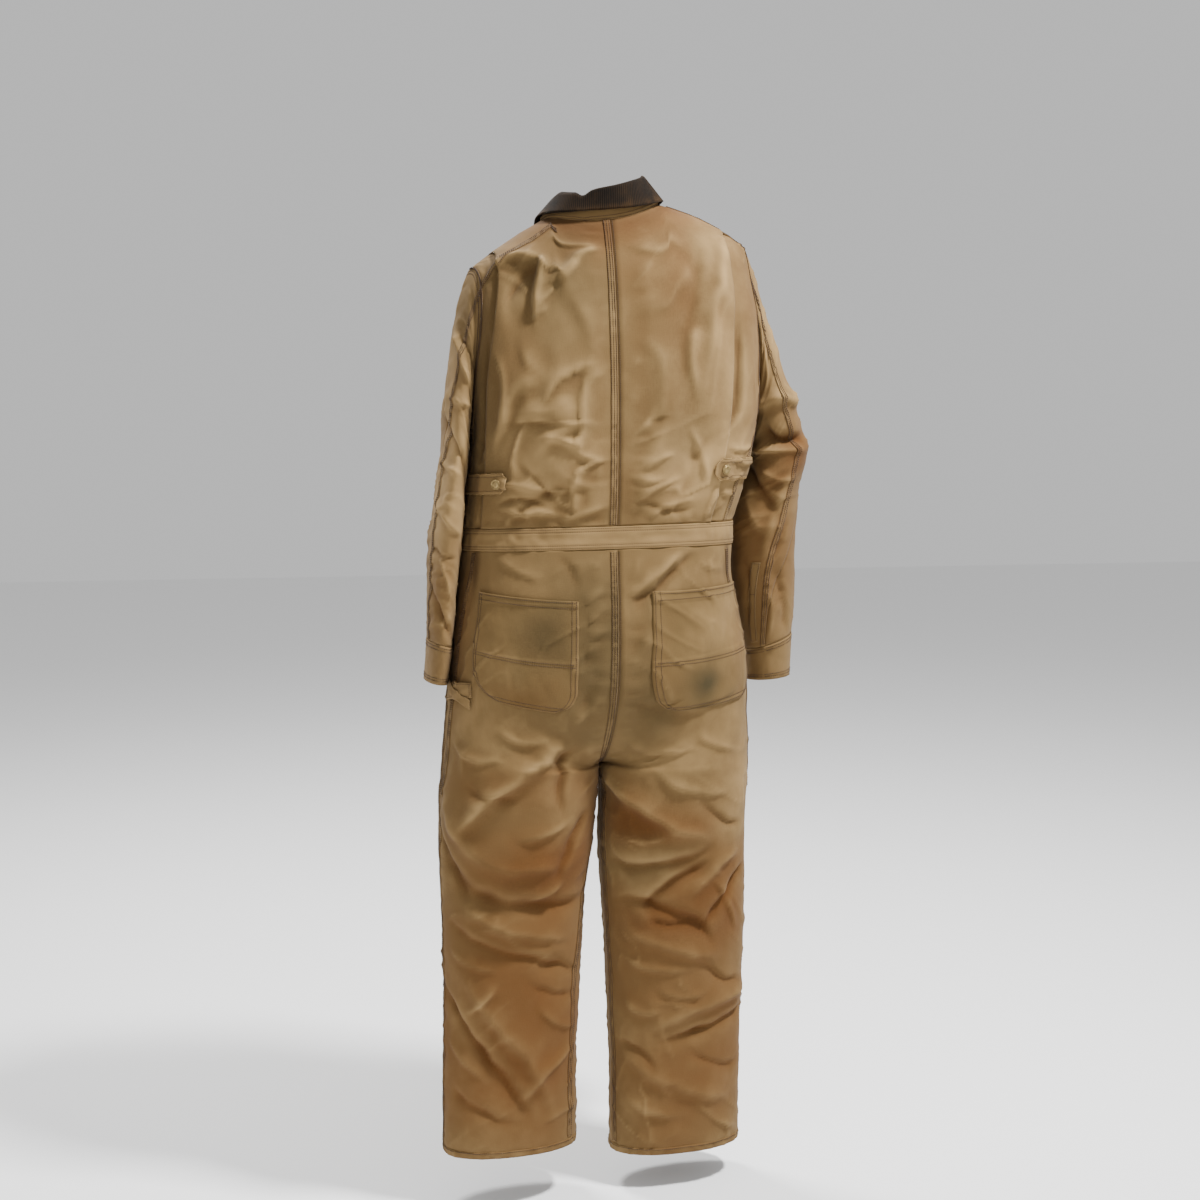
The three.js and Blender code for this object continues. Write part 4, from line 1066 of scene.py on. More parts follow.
@dataclass(frozen=True)
class DuckFinish:
    """Cotton duck, washed out unevenly, with painted shade in its crease hollows and dark patches."""

    name: str
    tan: tuple = srgb(107, 85, 53)
    pale: tuple = srgb(154, 126, 84)
    # Warm dye that also serves as painted shade in the legs' hollows
    warm_and_shade: tuple = srgb(92, 59, 27)
    grime: tuple = srgb(66, 56, 34)
    # Colour of the painted shade, also used for the dark specks of the weave
    dark: tuple = srgb(44, 25, 9)

    def make(self) -> bpy.types.Material:
        """Builds the material."""
        s = Shader(self.name)
        coordinates = s.node("TexCoord")
        flat, place = s.out(coordinates, "UV"), s.out(coordinates, "Object")
        tint = s.attribute("tint", "Color")
        parts = s.node("SeparateColor", None, Color=tint)
        fade, grime, warm_and_shade = (s.out(parts, k) for k in range(3))
        # Painted shade from the dark patches
        dark = s.attribute("tint", "Alpha")
        ridge = s.attribute("ridge")
        mottle = s.noise(place, 7.0, 4.0, 0.6)
        cloudy = s.noise(place, 23.0, 5.0, 0.65)
        speck = s.noise(flat, 260.0, 3.0, 0.7)
        yarn = s.noise(s.stretched(flat, (900, 130, 1)), 1.0, 2.0) * 0.5
        yarn = yarn + s.noise(s.stretched(flat, (130, 900, 1)), 1.0, 2.0) * 0.5
        light = (fade + (mottle - 0.5) * 0.9 + (cloudy - 0.5) * 0.5 + ridge * 0.1).held()
        colour = s.blend(light, self.tan, self.pale)
        # Warmer where the dye is less faded, and in the crease hollows as painted shade
        colour = s.blend((warm_and_shade + (0.5 - mottle) * 0.6 - ridge * 0.06).held(), colour, self.warm_and_shade)
        colour = s.blend((grime * (0.6 + cloudy * 0.8)).held(), colour, self.grime)
        # Painted shade from the dark patches and the crease hollows, with specks and yarns of the weave
        shade_and_grain = (dark + ridge * -0.05 + (speck - 0.62) * 0.5 + (yarn - 0.5) * 0.35).held()
        colour = s.blend(shade_and_grain * 0.75, colour, self.dark)
        bump = yarn + cloudy * 0.6 + speck * 0.3
        return s.finish(
            bump,
            0.0006,
            0.45,
            Base_Color=colour,
            Roughness=(0.86 + (0.5 - light) * 0.1).held(),
            Specular_IOR_Level=0.1,
            Sheen_Weight=0.03,
            Sheen_Roughness=0.6,
        )


@dataclass(frozen=True)
class CorduroyFinish:
    """Dark brown corduroy whose wales are worn pale on top, with painted shade in the grooves between them."""

    name: str
    nap: tuple = srgb(17, 11, 6)
    worn: tuple = srgb(56, 39, 20)
    # Colour of the painted shade between the wales, also used for the fibres
    shade_and_grain: tuple = srgb(9, 6, 3)

    def make(self) -> bpy.types.Material:
        """Builds the material."""
        s = Shader(self.name)
        coordinates = s.node("TexCoord")
        flat, place = s.out(coordinates, "UV"), s.out(coordinates, "Object")
        ridge = s.attribute("ridge")
        cloudy = s.noise(place, 30.0, 4.0, 0.6)
        fibre = s.noise(s.stretched(flat, (700, 260, 1)), 1.0, 3.0)
        colour = s.blend((ridge * 0.5 + (cloudy - 0.45) * 1.4).held(), self.nap, self.worn)
        # Painted shade in the grooves between the wales, with fibre texture
        colour = s.blend((ridge * -0.9 + (fibre - 0.6)).held(), colour, self.shade_and_grain)
        gloss = {"Roughness": 0.95, "Specular_IOR_Level": 0.1, "Sheen_Weight": 0.04}
        return s.finish(fibre, 0.0005, 0.5, Base_Color=colour, **gloss)


@dataclass(frozen=True)
class ThreadFinish:
    """Cotton sewing thread."""

    name: str
    colour: tuple = srgb(172, 142, 92)
    soiled: tuple = srgb(118, 88, 46)

    def make(self) -> bpy.types.Material:
        """Builds the material."""
        s = Shader(self.name)
        place = s.out(s.node("TexCoord"), "Object")
        soil = s.noise(place, 60.0, 3.0, 0.6)
        twist = s.noise(place, 2400.0, 1.0)
        colour = s.blend(((soil - 0.4) * 2.5).held(), self.colour, self.soiled)
        return s.finish(twist, 0.0002, 0.4, Base_Color=colour, Roughness=0.8)


@dataclass(frozen=True)
class MetalFinish:
    """Dull brass of the buttons and the zip."""

    name: str
    bright: tuple = srgb(176, 152, 104)
    dull: tuple = srgb(90, 72, 42)

    def make(self) -> bpy.types.Material:
        """Builds the material."""
        s = Shader(self.name)
        place = s.out(s.node("TexCoord"), "Object")
        stain = s.noise(place, 320.0, 4.0, 0.6)
        colour = s.blend(((stain - 0.35) * 2.2).held(), self.bright, self.dull)
        rough = (0.3 + stain * 0.35).held()
        return s.finish(stain, 0.0003, 0.3, Base_Color=colour, Roughness=rough, Metallic=0.9)


# Seams that show on the back, as shares across and along. The shoulder seam has four points on the centre
# panel and four on the side strip.
SHOULDER_SEAM = {
    Side.LEFT: (
        (0.2, 0.855), (0.33, 0.82), (0.46, 0.802), (0.6, 0.79),
        (0.6, 0.79), (0.73, 0.773), (0.88, 0.74), (0.995, 0.7),
    ),
    Side.RIGHT: (
        (0.22, 0.955), (0.33, 0.95), (0.45, 0.945), (0.55, 0.94),
        (0.55, 0.94), (0.7, 0.93), (0.85, 0.92), (0.99, 0.905),
    ),
}
ARM_SEAM = {
    Side.LEFT: ((0.945, 0.985), (0.86, 0.8), (0.85, 0.66), (0.87, 0.55), (0.9, 0.46), (0.95, 0.405)),
    Side.RIGHT: ((0.945, 0.9), (0.94, 0.7), (0.88, 0.56), (0.79, 0.47), (0.82, 0.42), (0.95, 0.4)),
}
SIDE_SEAM = {
    Side.LEFT: ((0.95, 0.4), (0.92, 0.3), (0.9, 0.15), (0.89, 0.003)),
    Side.RIGHT: ((0.94, 0.4), (0.83, 0.36), (0.74, 0.3), (0.65, 0.21), (0.59, 0.12), (0.59, 0.003)),
}
HIP_SEAM = {
    Side.LEFT: ((0.217, 0.003), (0.17, 0.08), (0.12, 0.16), (0.092, 0.225), (0.05, 0.32), (0.02, 0.4)),
    Side.RIGHT: ((0.321, 0.006), (0.24, 0.09), (0.16, 0.18), (0.1, 0.26), (0.054, 0.333), (0.02, 0.4)),
}
INSEAM = {
    Side.LEFT: ((0.99, 0.36), (0.97, 0.46), (0.9, 0.57), (0.84, 0.68), (0.83, 0.82), (0.83, 0.985)),
    Side.RIGHT: ((0.99, 0.36), (0.96, 0.43), (0.95, 0.6), (0.945, 0.8), (0.94, 0.985)),
}
OVER_ARM = {
    Side.LEFT: (
        (0.42, 0.01), (0.372, 0.102), (0.3, 0.2), (0.172, 0.336), (0.08, 0.43),
        (0.01, 0.539), (0.002, 0.7), (0.002, 0.85), (0.01, 0.998),
    ),
    Side.RIGHT: (
        (0.42, 0.01), (0.41, 0.12), (0.4, 0.25), (0.36, 0.4), (0.28, 0.55),
        (0.19, 0.68), (0.09, 0.82), (0.01, 0.93), (0.005, 0.998),
    ),
}

# Patches of colour: across, along, radius across, radius along, tone, strength.
# Across counts from the side seam, with the back positive.
# The darkest patches are painted shade, and the warm patches are partly dye and partly painted shade.
TRUNK_TONES = {
    Side.LEFT: (
        (215, 110, 80, 90, Tone.FADE, 0.7), (230, 330, 90, 110, Tone.GRIME, 0.3),
        (150, 250, 50, 60, Tone.WARM_AND_SHADE, 0.15), (285, 250, 14, 200, Tone.WARM_AND_SHADE, 0.15),
        (270, 445, 110, 55, Tone.WARM_AND_SHADE, 0.75), (270, 455, 90, 50, Tone.DARK, 0.6),
        (60, 230, 70, 170, Tone.DARK, 0.35), (60, 200, 60, 150, Tone.GRIME, 0.3),
        (-200, 250, 90, 160, Tone.FADE, 0.25), (-90, 100, 60, 70, Tone.GRIME, 0.2),
    ),
    Side.RIGHT: (
        (190, 110, 90, 90, Tone.FADE, 0.95), (160, 330, 45, 110, Tone.FADE, 0.4),
        (235, 340, 34, 120, Tone.WARM_AND_SHADE, 0.45), (230, 300, 34, 110, Tone.DARK, 0.18),
        (285, 240, 14, 200, Tone.WARM_AND_SHADE, 0.15), (270, 450, 110, 50, Tone.WARM_AND_SHADE, 0.6),
        (270, 458, 90, 45, Tone.DARK, 0.45), (70, 250, 60, 160, Tone.WARM_AND_SHADE, 0.35),
        (235, 160, 40, 60, Tone.GRIME, 0.2), (-210, 250, 90, 160, Tone.FADE, 0.25),
        (-100, 90, 60, 60, Tone.GRIME, 0.25),
    ),
}
LEG_TONES = {
    Side.LEFT: (
        (310, 60, 50, 60, Tone.GRIME, 0.35), (320, 170, 60, 90, Tone.GRIME, 0.6),
        (90, 20, 12, 50, Tone.DARK, 0.9), (40, 130, 40, 140, Tone.WARM_AND_SHADE, 0.6),
        (110, 280, 70, 60, Tone.FADE, 0.15), (210, 400, 130, 80, Tone.WARM_AND_SHADE, 0.5),
        (210, 540, 130, 70, Tone.WARM_AND_SHADE, 0.95), (215, 555, 100, 45, Tone.DARK, 0.3),
        (30, 520, 40, 70, Tone.DARK, 0.25), (160, 720, 170, 110, Tone.WARM_AND_SHADE, 0.6),
        (170, 920, 180, 140, Tone.WARM_AND_SHADE, 0.8), (90, 830, 50, 60, Tone.FADE, 0.25),
        (-170, 560, 130, 120, Tone.FADE, 0.4), (-170, 820, 150, 160, Tone.WARM_AND_SHADE, 0.5),
    ),
    Side.RIGHT: (
        (112, 20, 14, 50, Tone.DARK, 0.8), (300, 200, 50, 100, Tone.GRIME, 0.5),
        (200, 320, 100, 70, Tone.FADE, 0.25), (240, 470, 90, 50, Tone.WARM_AND_SHADE, 0.9),
        (250, 470, 70, 34, Tone.DARK, 0.3), (90, 560, 70, 60, Tone.WARM_AND_SHADE, 0.6),
        (190, 640, 130, 60, Tone.WARM_AND_SHADE, 0.9), (200, 645, 110, 36, Tone.DARK, 0.3),
        (90, 420, 60, 90, Tone.FADE, 0.4), (170, 760, 150, 80, Tone.WARM_AND_SHADE, 0.35),
        (150, 930, 170, 130, Tone.WARM_AND_SHADE, 0.65), (-170, 560, 130, 120, Tone.FADE, 0.4),
        (-170, 820, 150, 160, Tone.WARM_AND_SHADE, 0.5),
    ),
}
SLEEVE_TONES = {
    Side.LEFT: (
        (60, 330, 80, 220, Tone.FADE, 0.9), (40, 80, 90, 60, Tone.GRIME, 0.3),
        (60, 560, 60, 80, Tone.WARM_AND_SHADE, 0.35),
    ),
    Side.RIGHT: (
        (60, 300, 80, 60, Tone.WARM_AND_SHADE, 0.8), (60, 320, 80, 60, Tone.DARK, 0.3),
        (70, 480, 90, 120, Tone.WARM_AND_SHADE, 0.5), (60, 120, 60, 80, Tone.FADE, 0.4),
    ),
}
POCKET_TONES = {
    Side.LEFT: (
        (250, 120, 50, 55, Tone.GRIME, 0.6), (250, 125, 42, 45, Tone.DARK, 0.25),
        (150, 170, 60, 50, Tone.FADE, 0.3), (200, 215, 70, 20, Tone.WARM_AND_SHADE, 0.35),
    ),
    Side.RIGHT: (
        (215, 203, 42, 28, Tone.GRIME, 0.95), (150, 110, 70, 45, Tone.FADE, 0.4),
        (100, 160, 40, 60, Tone.WARM_AND_SHADE, 0.3),
    ),
}

# angle round the neck from centre back, height of the top, height and reach of the lower edge
COLLAR = (
    (-180, 34, -44, 20),
    (-150, 38, -4, 20),
    (-120, 41, 4, 14),
    (-90, 44, 5, 11),
    (-60, 52, 8, 11),
    (-25, 58, 13, 11),
    (0, 54, 15, 11),
    (18, 49, 15, 11),
    (27, 41, 14, 12),
    (36, 46, 12, 12),
    (60, 46, 8, 12),
    (90, 42, 5, 12),
    (120, 41, 4, 14),
    (150, 38, -4, 20),
    (180, 34, -44, 20),
)

# share along the fall, reach out, height share
FALL = (
    (0, -2.6, 0),
    (0.2, -2.0, 0.55),
    (0.32, 0.8, 0.93),
    (0.42, 5.0, 1.0),
    (0.52, 8.0, 0.9),
    (0.62, 9.4, 0.7),
    (1, 0, 0),
)

# height share down the leg, outer edge, inner edge (shares across the panel)
POCKETS = {
    Side.LEFT: (
        (0.062, 0.33, 0.875),
        (0.11, 0.328, 0.878),
        (0.185, 0.33, 0.88),
        (0.2, 0.372, 0.866),
        (0.21, 0.44, 0.83),
        (0.216, 0.52, 0.78),
    ),
    Side.RIGHT: (
        (0.058, 0.2, 0.885),
        (0.11, 0.18, 0.895),
        (0.19, 0.17, 0.89),
        (0.206, 0.2, 0.86),
        (0.216, 0.25, 0.81),
        (0.221, 0.33, 0.74),
    ),
}

# from, to, height share, half height share and button share of the waist tabs
TABS = {
    Side.LEFT: (0.96, 0.51, 0.178, 0.04, 0.575),
    Side.RIGHT: (0.95, 0.385, 0.205, 0.04, 0.46),
}

# Width and length of the cut that shows in millimetres, and the share of the rectangle that it fills
CUTS = {
    "back_left": ((290, 455), 0.92),
    "back_right": ((268, 455), 0.92),
    "back_side_left": ((85, 440), 0.9),
    "back_side_right": ((165, 440), 0.9),
    "front_left": ((350, 450), 0.9),
    "front_right": ((415, 450), 0.9),
    "leg": ((400, 1070), 0.9),
    "sleeve_left": ((160, 645), 0.86),
    "sleeve_right": ((195, 645), 0.86),
    "cuff_left": ((240, 74), 1.0),
    "cuff_right": ((265, 74), 1.0),
    "waistband": ((1130, 40), 0.97),
    "collar_stand": ((560, 36), 0.9),
    "collar_fall": ((600, 98), 0.9),
    "pocket": ((185, 185), 0.92),
    "tool_loop": ((110, 30), 0.9),
    "sleeve_placket": ((20, 128), 0.9),
    "zip": ((26, 640), 1.0),
}


def trunk_panel(side: Side, face: Face) -> TrunkPanel:
    """Quarter of the trunk with its creases."""
    start = 11 if face is Face.BACK else 31
    return TrunkPanel(side, face, TRUNK_FOLDS[side], seed=start + side.value)


def leg_panel(side: Side, face: Face) -> LegPanel:
    """Half of a leg with its creases."""
    return LegPanel(side, face, LEG_FOLDS[side], seed=51 + 7 * side.value + 20 * face.value)


def pleat_edge(side: Side, v: Array) -> Array:
    """Share across of the pleat's edge."""
    return smooth_read(PLEAT, 1 if side is Side.LEFT else 2, v)


def declare(
    made: bpy.types.Object, node: str, slot: str, flat: tuple, area: float, others: Sequence = ()
) -> None:
    """Attaches a cloth piece to the root, hides the frame's node that it replaces and logs its area.

    Args:
        made: The cloth's object.
        node: The frame's node that it replaces.
        slot: Not used.
        flat: Width and length of the cut in millimetres.
        area: Area of the cut as a share of width times length.
        others: Stitches and such that lie on it.
    """
    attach(made, "root")
    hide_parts(node)
    for other in others:
        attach(other, "root")
    width, length = flat[0] * MM, flat[1] * MM
    area * width * length
    faces = made.data.polygons
    cloth_area = sum(polygon.area for polygon in faces) / 2
    log.info("%s: %d faces, %.4f of %.4f m2", made.name, len(faces), cloth_area, area * width * length)


@dataclass
class Finishes:
    """The suit's materials."""

    duck: bpy.types.Material
    light: bpy.types.Material
    worn: bpy.types.Material
    thread: bpy.types.Material
    dark_thread: bpy.types.Material
    cord: bpy.types.Material
    metal: bpy.types.Material

    @classmethod
    def make(cls) -> "Finishes":
        """Builds all materials."""
        return cls(
            duck=DuckFinish("duck").make(),
            light=DuckFinish("duck_light", tan=srgb(113, 90, 57)).make(),
            worn=DuckFinish("duck_worn", tan=srgb(103, 82, 50), pale=srgb(142, 115, 75)).make(),
            thread=ThreadFinish("thread").make(),
            dark_thread=ThreadFinish("thread_dark", colour=srgb(66, 42, 18), soiled=srgb(36, 22, 9)).make(),
            cord=CorduroyFinish("corduroy").make(),
            metal=MetalFinish("brass").make(),
        )


@dataclass
class Tailor:
    """Makes pieces of the suit in its finishes."""

    finishes: Finishes

    def sew(
        self,
        cloth: Cloth,
        thread: Stitching,
        material: bpy.types.Material,
        node: str,
        cut: tuple[tuple[float, float], float],
        slot: str = "duck",
    ) -> None:
        """Args:
            cloth: The piece.
            thread: Its stitches.
            material: The cloth's finish.
            node: The frame's node that it replaces.
            cut: Width and length in millimetres, and the share that the cut fills.
            slot: The material slot of the record.
        """
        made = cloth.make(material)
        declare(made, node, slot, *cut, [thread.make(self.finishes.dark_thread)])


def line_u(panel: Panel, edge: float, distance: float, start: float, end: float) -> Path:
    """Path along a panel at a distance from one of its long edges."""

    def path(t: Array) -> tuple[Array, Array]:
        v = mix(start, end, t)
        return inset(panel, edge, distance, v), v

    return path


def line_v(v: float, start: float = 0.0, end: float = 1.0) -> Path:
    """Path across a panel at one height."""
    return lambda t: (mix(start, end, t), np.full_like(t, v))


def line_down(u: float, start: float, end: float) -> Path:
    """Path along a panel at one share across."""
    return lambda t: (np.full_like(t, u), mix(start, end, t))


def on(place: Place, path: Path) -> Path:
    """A path over a small piece, turned into one over the panel below it."""
    return lambda t: place(*path(t))


def through(points: Rows) -> Path:
    """Smooth path through shares of a panel, given as across and along."""
    rows = [(k / (len(points) - 1), *point) for k, point in enumerate(points)]
    return lambda t: (smooth_read(rows, 1, t), smooth_read(rows, 2, t))


def beside(path: Path, across: float, along: float) -> Path:
    """The same path moved over the panel."""

    def moved(t: Array) -> tuple[Array, Array]:
        u, v = path(t)
        return u + across, v + along

    return moved


def felled(
    cloth: Cloth,
    thread: Stitching,
    panel: Panel,
    path: Path,
    across: float,
    along: float,
    rows: int,
    off: Lift = flush,
) -> None:
    """Sews a felled seam with three rows of stitches along a path.

    Args:
        cloth: The piece that it belongs to.
        thread: Where its stitches go.
        panel: The panel below.
        path: One edge of the seam.
        across: Share across to its other edge.
        along: Share along to its other edge.
        rows: Faces along.
        off: Lift of the cloth below.
    """
    strip(cloth, panel, path, beside(path, across, along), rows, 0.9, rows, off)
    for share in FELLED:
        thread.row(panel, beside(path, across * share, along * share), lambda u, v: off(u, v) + 1.25)


def strip(
    cloth: Cloth,
    panel: Panel,
    near: Path,
    far: Path,
    rows: int,
    lift: float,
    seed: int,
    off: Lift = flush,
) -> None:
    """Lays the raised double cloth of a felled seam between two paths.

    Args:
        cloth: The piece that it belongs to.
        panel: The panel below.
        near: Path of one edge.
        far: Path of the other edge.
        rows: Faces along.
        lift: Height of the seam over the panel.
        seed: Seed of its puckers.
        off: Lift of the cloth below.
    """
    columns = 5
    t = np.linspace(0, 1, rows + 1)
    (u0, v0), (u1, v1) = near(t), far(t)
    a = np.linspace(0, 1, columns + 1)[:, None]
    u, v = mix(u0, u1, a), mix(v0, v1, a)
    ribs = smooth_noise(np.broadcast_to(t * rows / 2.6, u.shape), a * 1.2 + 0 * u, seed)
    crown = np.sin(a * math.pi) ** 0.35
    rise = lift * (0.35 + 0.65 * crown) + 0.5 * ribs
    outer, normal = panel.skin(u, v, rise + off(u, v))
    inner = outer - normal * (lift + 0.6)
    worn = 1.3 * ribs + 0.5 - 2.4 * (np.abs(a - 0.5) > 0.45) + 0 * u
    cloth.add_grid(outer, inner, np.stack(panel.flat(u, v), -1), worn)


@dataclass
class Trunk(Tailor):
    """Back and front above the waistband."""

    columns: int = 46
    rows: int = 112
    seam_width: float = 13.0

    def build(self, side: Side) -> None:
        """Builds the back, its side strip and the front of one side."""
        back = trunk_panel(side, Face.BACK)
        self.back(side, back)
        self.back_side(side, back)
        self.front(side, trunk_panel(side, Face.FRONT))

    def lift(self, side: Side) -> Lift:
        """How far the back stands off where its pleat edge lies over the side strip."""

        def off(u: Array, v: Array) -> Array:
            opening = 0.15 + 0.85 * ease(v / 0.2) * ease((0.92 - v) / 0.25)
            top = 0.3 + 0.7 * ease((1 - v) / 0.1)
            return (1.6 + PLEAT_LIFT * opening) * top * ease((u - pleat_edge(side, v) + 0.2) / 0.2)

        return off

    def back(self, side: Side, panel: Panel) -> None:
        """Centre back panel with its shoulder seam."""
        cloth = Cloth(f"cloth_back_{side.word}", TRUNK_TONES[side])
        off = self.lift(side)

        def place(a: Array, b: Array) -> tuple[Array, Array]:
            v = np.clip(b, TRUNK_END, 1)
            return a * pleat_edge(side, v), v

        cloth.add(panel, place, self.columns, self.rows, off)
        thread = Stitching(f"stitches_back_{side.word}")
        if side is Side.LEFT:
            near, far = (line_u(panel, 0, distance, 0.002, 0.998) for distance in (0.2, self.seam_width))
            strip(cloth, panel, near, far, 150, 0.9, 3)
            for distance in TRIPLE:
                thread.row(panel, line_u(panel, 0, distance, 0.004, 0.996), 1.2)
        else:
            thread.row(panel, line_u(panel, 0, 3.0, 0.004, 0.996), 0.1)
        felled(cloth, thread, panel, through(SHOULDER_SEAM[side][:4]), 0.0, 0.03, 60, off)
        node = f"back_{side.word}"
        self.sew(cloth, thread, self.finishes.duck, node, CUTS[node])

    def back_side(self, side: Side, panel: Panel) -> None:
        """Side strip of the back, tucked under the pleat."""
        cloth = Cloth(f"cloth_back_side_{side.word}", TRUNK_TONES[side])

        def place(a: Array, b: Array) -> tuple[Array, Array]:
            v = np.clip(b, TRUNK_END, 1)
            return mix(pleat_edge(side, v) - PLEAT_UNDER, 1, a**0.9), v

        def off(u: Array, v: Array) -> Array:
            top = 0.25 + 0.75 * ease((1 - v) / 0.1)
            return -PLEAT_SINK * top * (1 - ease((u - pleat_edge(side, v) - 0.01) / 0.09))

        cloth.add(panel, place, 30, self.rows, off)
        thread = Stitching(f"stitches_back_side_{side.word}")
        felled(cloth, thread, panel, through(SHOULDER_SEAM[side][4:]), 0.0, 0.03, 50)
        felled(cloth, thread, panel, through(ARM_SEAM[side]), 0.05, 0.0, 60)
        felled(cloth, thread, panel, through(SIDE_SEAM[side]), 0.05, 0.0, 60)
        node = f"back_side_{side.word}"
        self.sew(cloth, thread, self.finishes.duck, node, CUTS[node])

    def front(self, side: Side, panel: Panel) -> None:
        """Front panel with the stitched zip edge."""
        cloth = Cloth(f"cloth_front_{side.word}", TRUNK_TONES[side])
        cloth.add(panel, lambda a, b: (a, np.clip(b, TRUNK_END, 1)), 60, 96)
        thread = Stitching(f"stitches_front_{side.word}")
        near, far = (line_u(panel, 0, distance, 0.002, 0.998) for distance in (0.2, 30))
        strip(cloth, panel, near, far, 130, 0.8, 5)
        for distance in (3.0, 26.0):
            thread.row(panel, line_u(panel, 0, distance, 0.004, 0.99), 1.0)
        for distance in (3.0, 8.0):
            thread.row(panel, line_u(panel, 1, distance, 0.004, V_ARM), 0.1)
        node = f"front_{side.word}"
        self.sew(cloth, thread, self.finishes.duck, node, CUTS[node])


@dataclass
class Legs(Tailor):
    """Seat and legs."""

    columns: int = 68
    rows: int = 214
    seam_width: float = 13.0

    def build(self, side: Side) -> None:
        """Builds the back and the front of one leg."""
        for face in Face:
            self.half(side, leg_panel(side, face))

    def half(self, side: Side, panel: Panel) -> None:
        """One half of a leg with its seams, hem and stitches."""
        word = f"leg_{panel.face.word}_{side.word}"
        cloth = Cloth(f"cloth_{word}", LEG_TONES[side])
        cloth.add(panel, lambda a, b: (a, mix(LEG_TOP, 1.0, b)), self.columns, self.rows)
        thread = Stitching(f"stitches_{word}", width=1.1)
        start, end, crotch = 0.003, 0.999, V_CROTCH - 0.005
        if side is Side.LEFT:
            near, far = (line_u(panel, 1, distance, start, crotch) for distance in (0.3, self.seam_width))
            strip(cloth, panel, near, far, 260, 1.0, 9 + side.value)
        if panel.face is Face.BACK:
            felled(cloth, thread, panel, through(INSEAM[side]), -0.05, 0.0, 260)
            felled(cloth, thread, panel, through(HIP_SEAM[side]), 0.045, 0.0, 150)
        near, far = (line_u(panel, 0, distance, start, end) for distance in (0.3, 9.0))
        strip(cloth, panel, near, far, 360, 0.7, 4)
        for distance in TRIPLE if side is Side.LEFT else (2.4,):
            thread.row(panel, line_u(panel, 1, distance, start, crotch), 1.25 if side is Side.LEFT else 0.1)
        for distance in (2.2, 7.0):
            thread.row(panel, line_u(panel, 0, distance, start, end), 0.95)
        near, far = (line_v(1 - share, 0.004, 0.996) for share in (0.0002, HEM_SHARE))
        strip(cloth, panel, near, far, 110, 1.0, 6)
        thread.row(panel, line_v(1 - 0.8 * HEM_SHARE, 0.01, 0.99), 1.3)
        self.sew(cloth, thread, self.finishes.duck, word, CUTS["leg"])


@dataclass
class Sleeves(Tailor):
    """Sleeve halves and cuffs."""

    columns: int = 42
    rows: int = 140

    def build(self, side: Side) -> None:
        """Builds both halves and the cuff of one sleeve."""
        panel = SleevePanel(side, creases=SLEEVE_FOLDS[side], seed=71 + side.value)
        for word, start in (("back", SLEEVE_SLACK), ("front", 1 + SLEEVE_SLACK)):
            cloth = Cloth(f"cloth_sleeve_{word}_{side.word}", SLEEVE_TONES[side])
            end = start + SLEEVE_HALF
            cloth.add(panel, lambda a, b: (mix(start, end, a), mix(0.0, 0.9996, b)), self.columns, self.rows)
            thread = Stitching(f"stitches_sleeve_{word}_{side.word}")
            self.seams(cloth, thread, panel, start, end, word == "back")
            cut = CUTS[f"sleeve_{side.word}"]
            self.sew(cloth, thread, self.finishes.light, f"sleeve_{word}_{side.word}", cut)
        self.cuff(side, panel)

    def seams(
        self, cloth: Cloth, thread: Stitching, panel: Panel, start: float, end: float, long: bool
    ) -> None:
        """Long seam with three rows of stitches on the back half, and the armhole's rows."""
        if long:
            felled(cloth, thread, panel, through(OVER_ARM[panel.side]), 0.06, 0.0, 220)
        for along in (0.008, 0.018):
            thread.row(panel, line_v(along, start, end), 0.15)

    def cuff(self, side: Side, panel: Panel) -> None:
        """Band at the end of the sleeve with stitches at both edges."""
        cloth = Cloth(f"cloth_cuff_{side.word}", SLEEVE_TONES[side])

        def off(u: Array, v: Array) -> Array:
            return 0.6 + 0.5 * smooth_noise(u * 14, v * 60, 5) * ease((v - 1.0) / 0.01)

        around = lambda a, b: (a * 2, mix(1.0004, T_END - 0.0002, b))
        cloth.add(panel, around, 96, 16, off, 2.6, closed=True)
        thread = Stitching(f"stitches_cuff_{side.word}")
        for v in (1.006, 1.014, T_END - 0.012, T_END - 0.02):
            thread.row(panel, line_v(v, 0, 2), 0.75)
        node = f"cuff_{side.word}"
        self.sew(cloth, thread, self.finishes.light, node, CUTS[node])


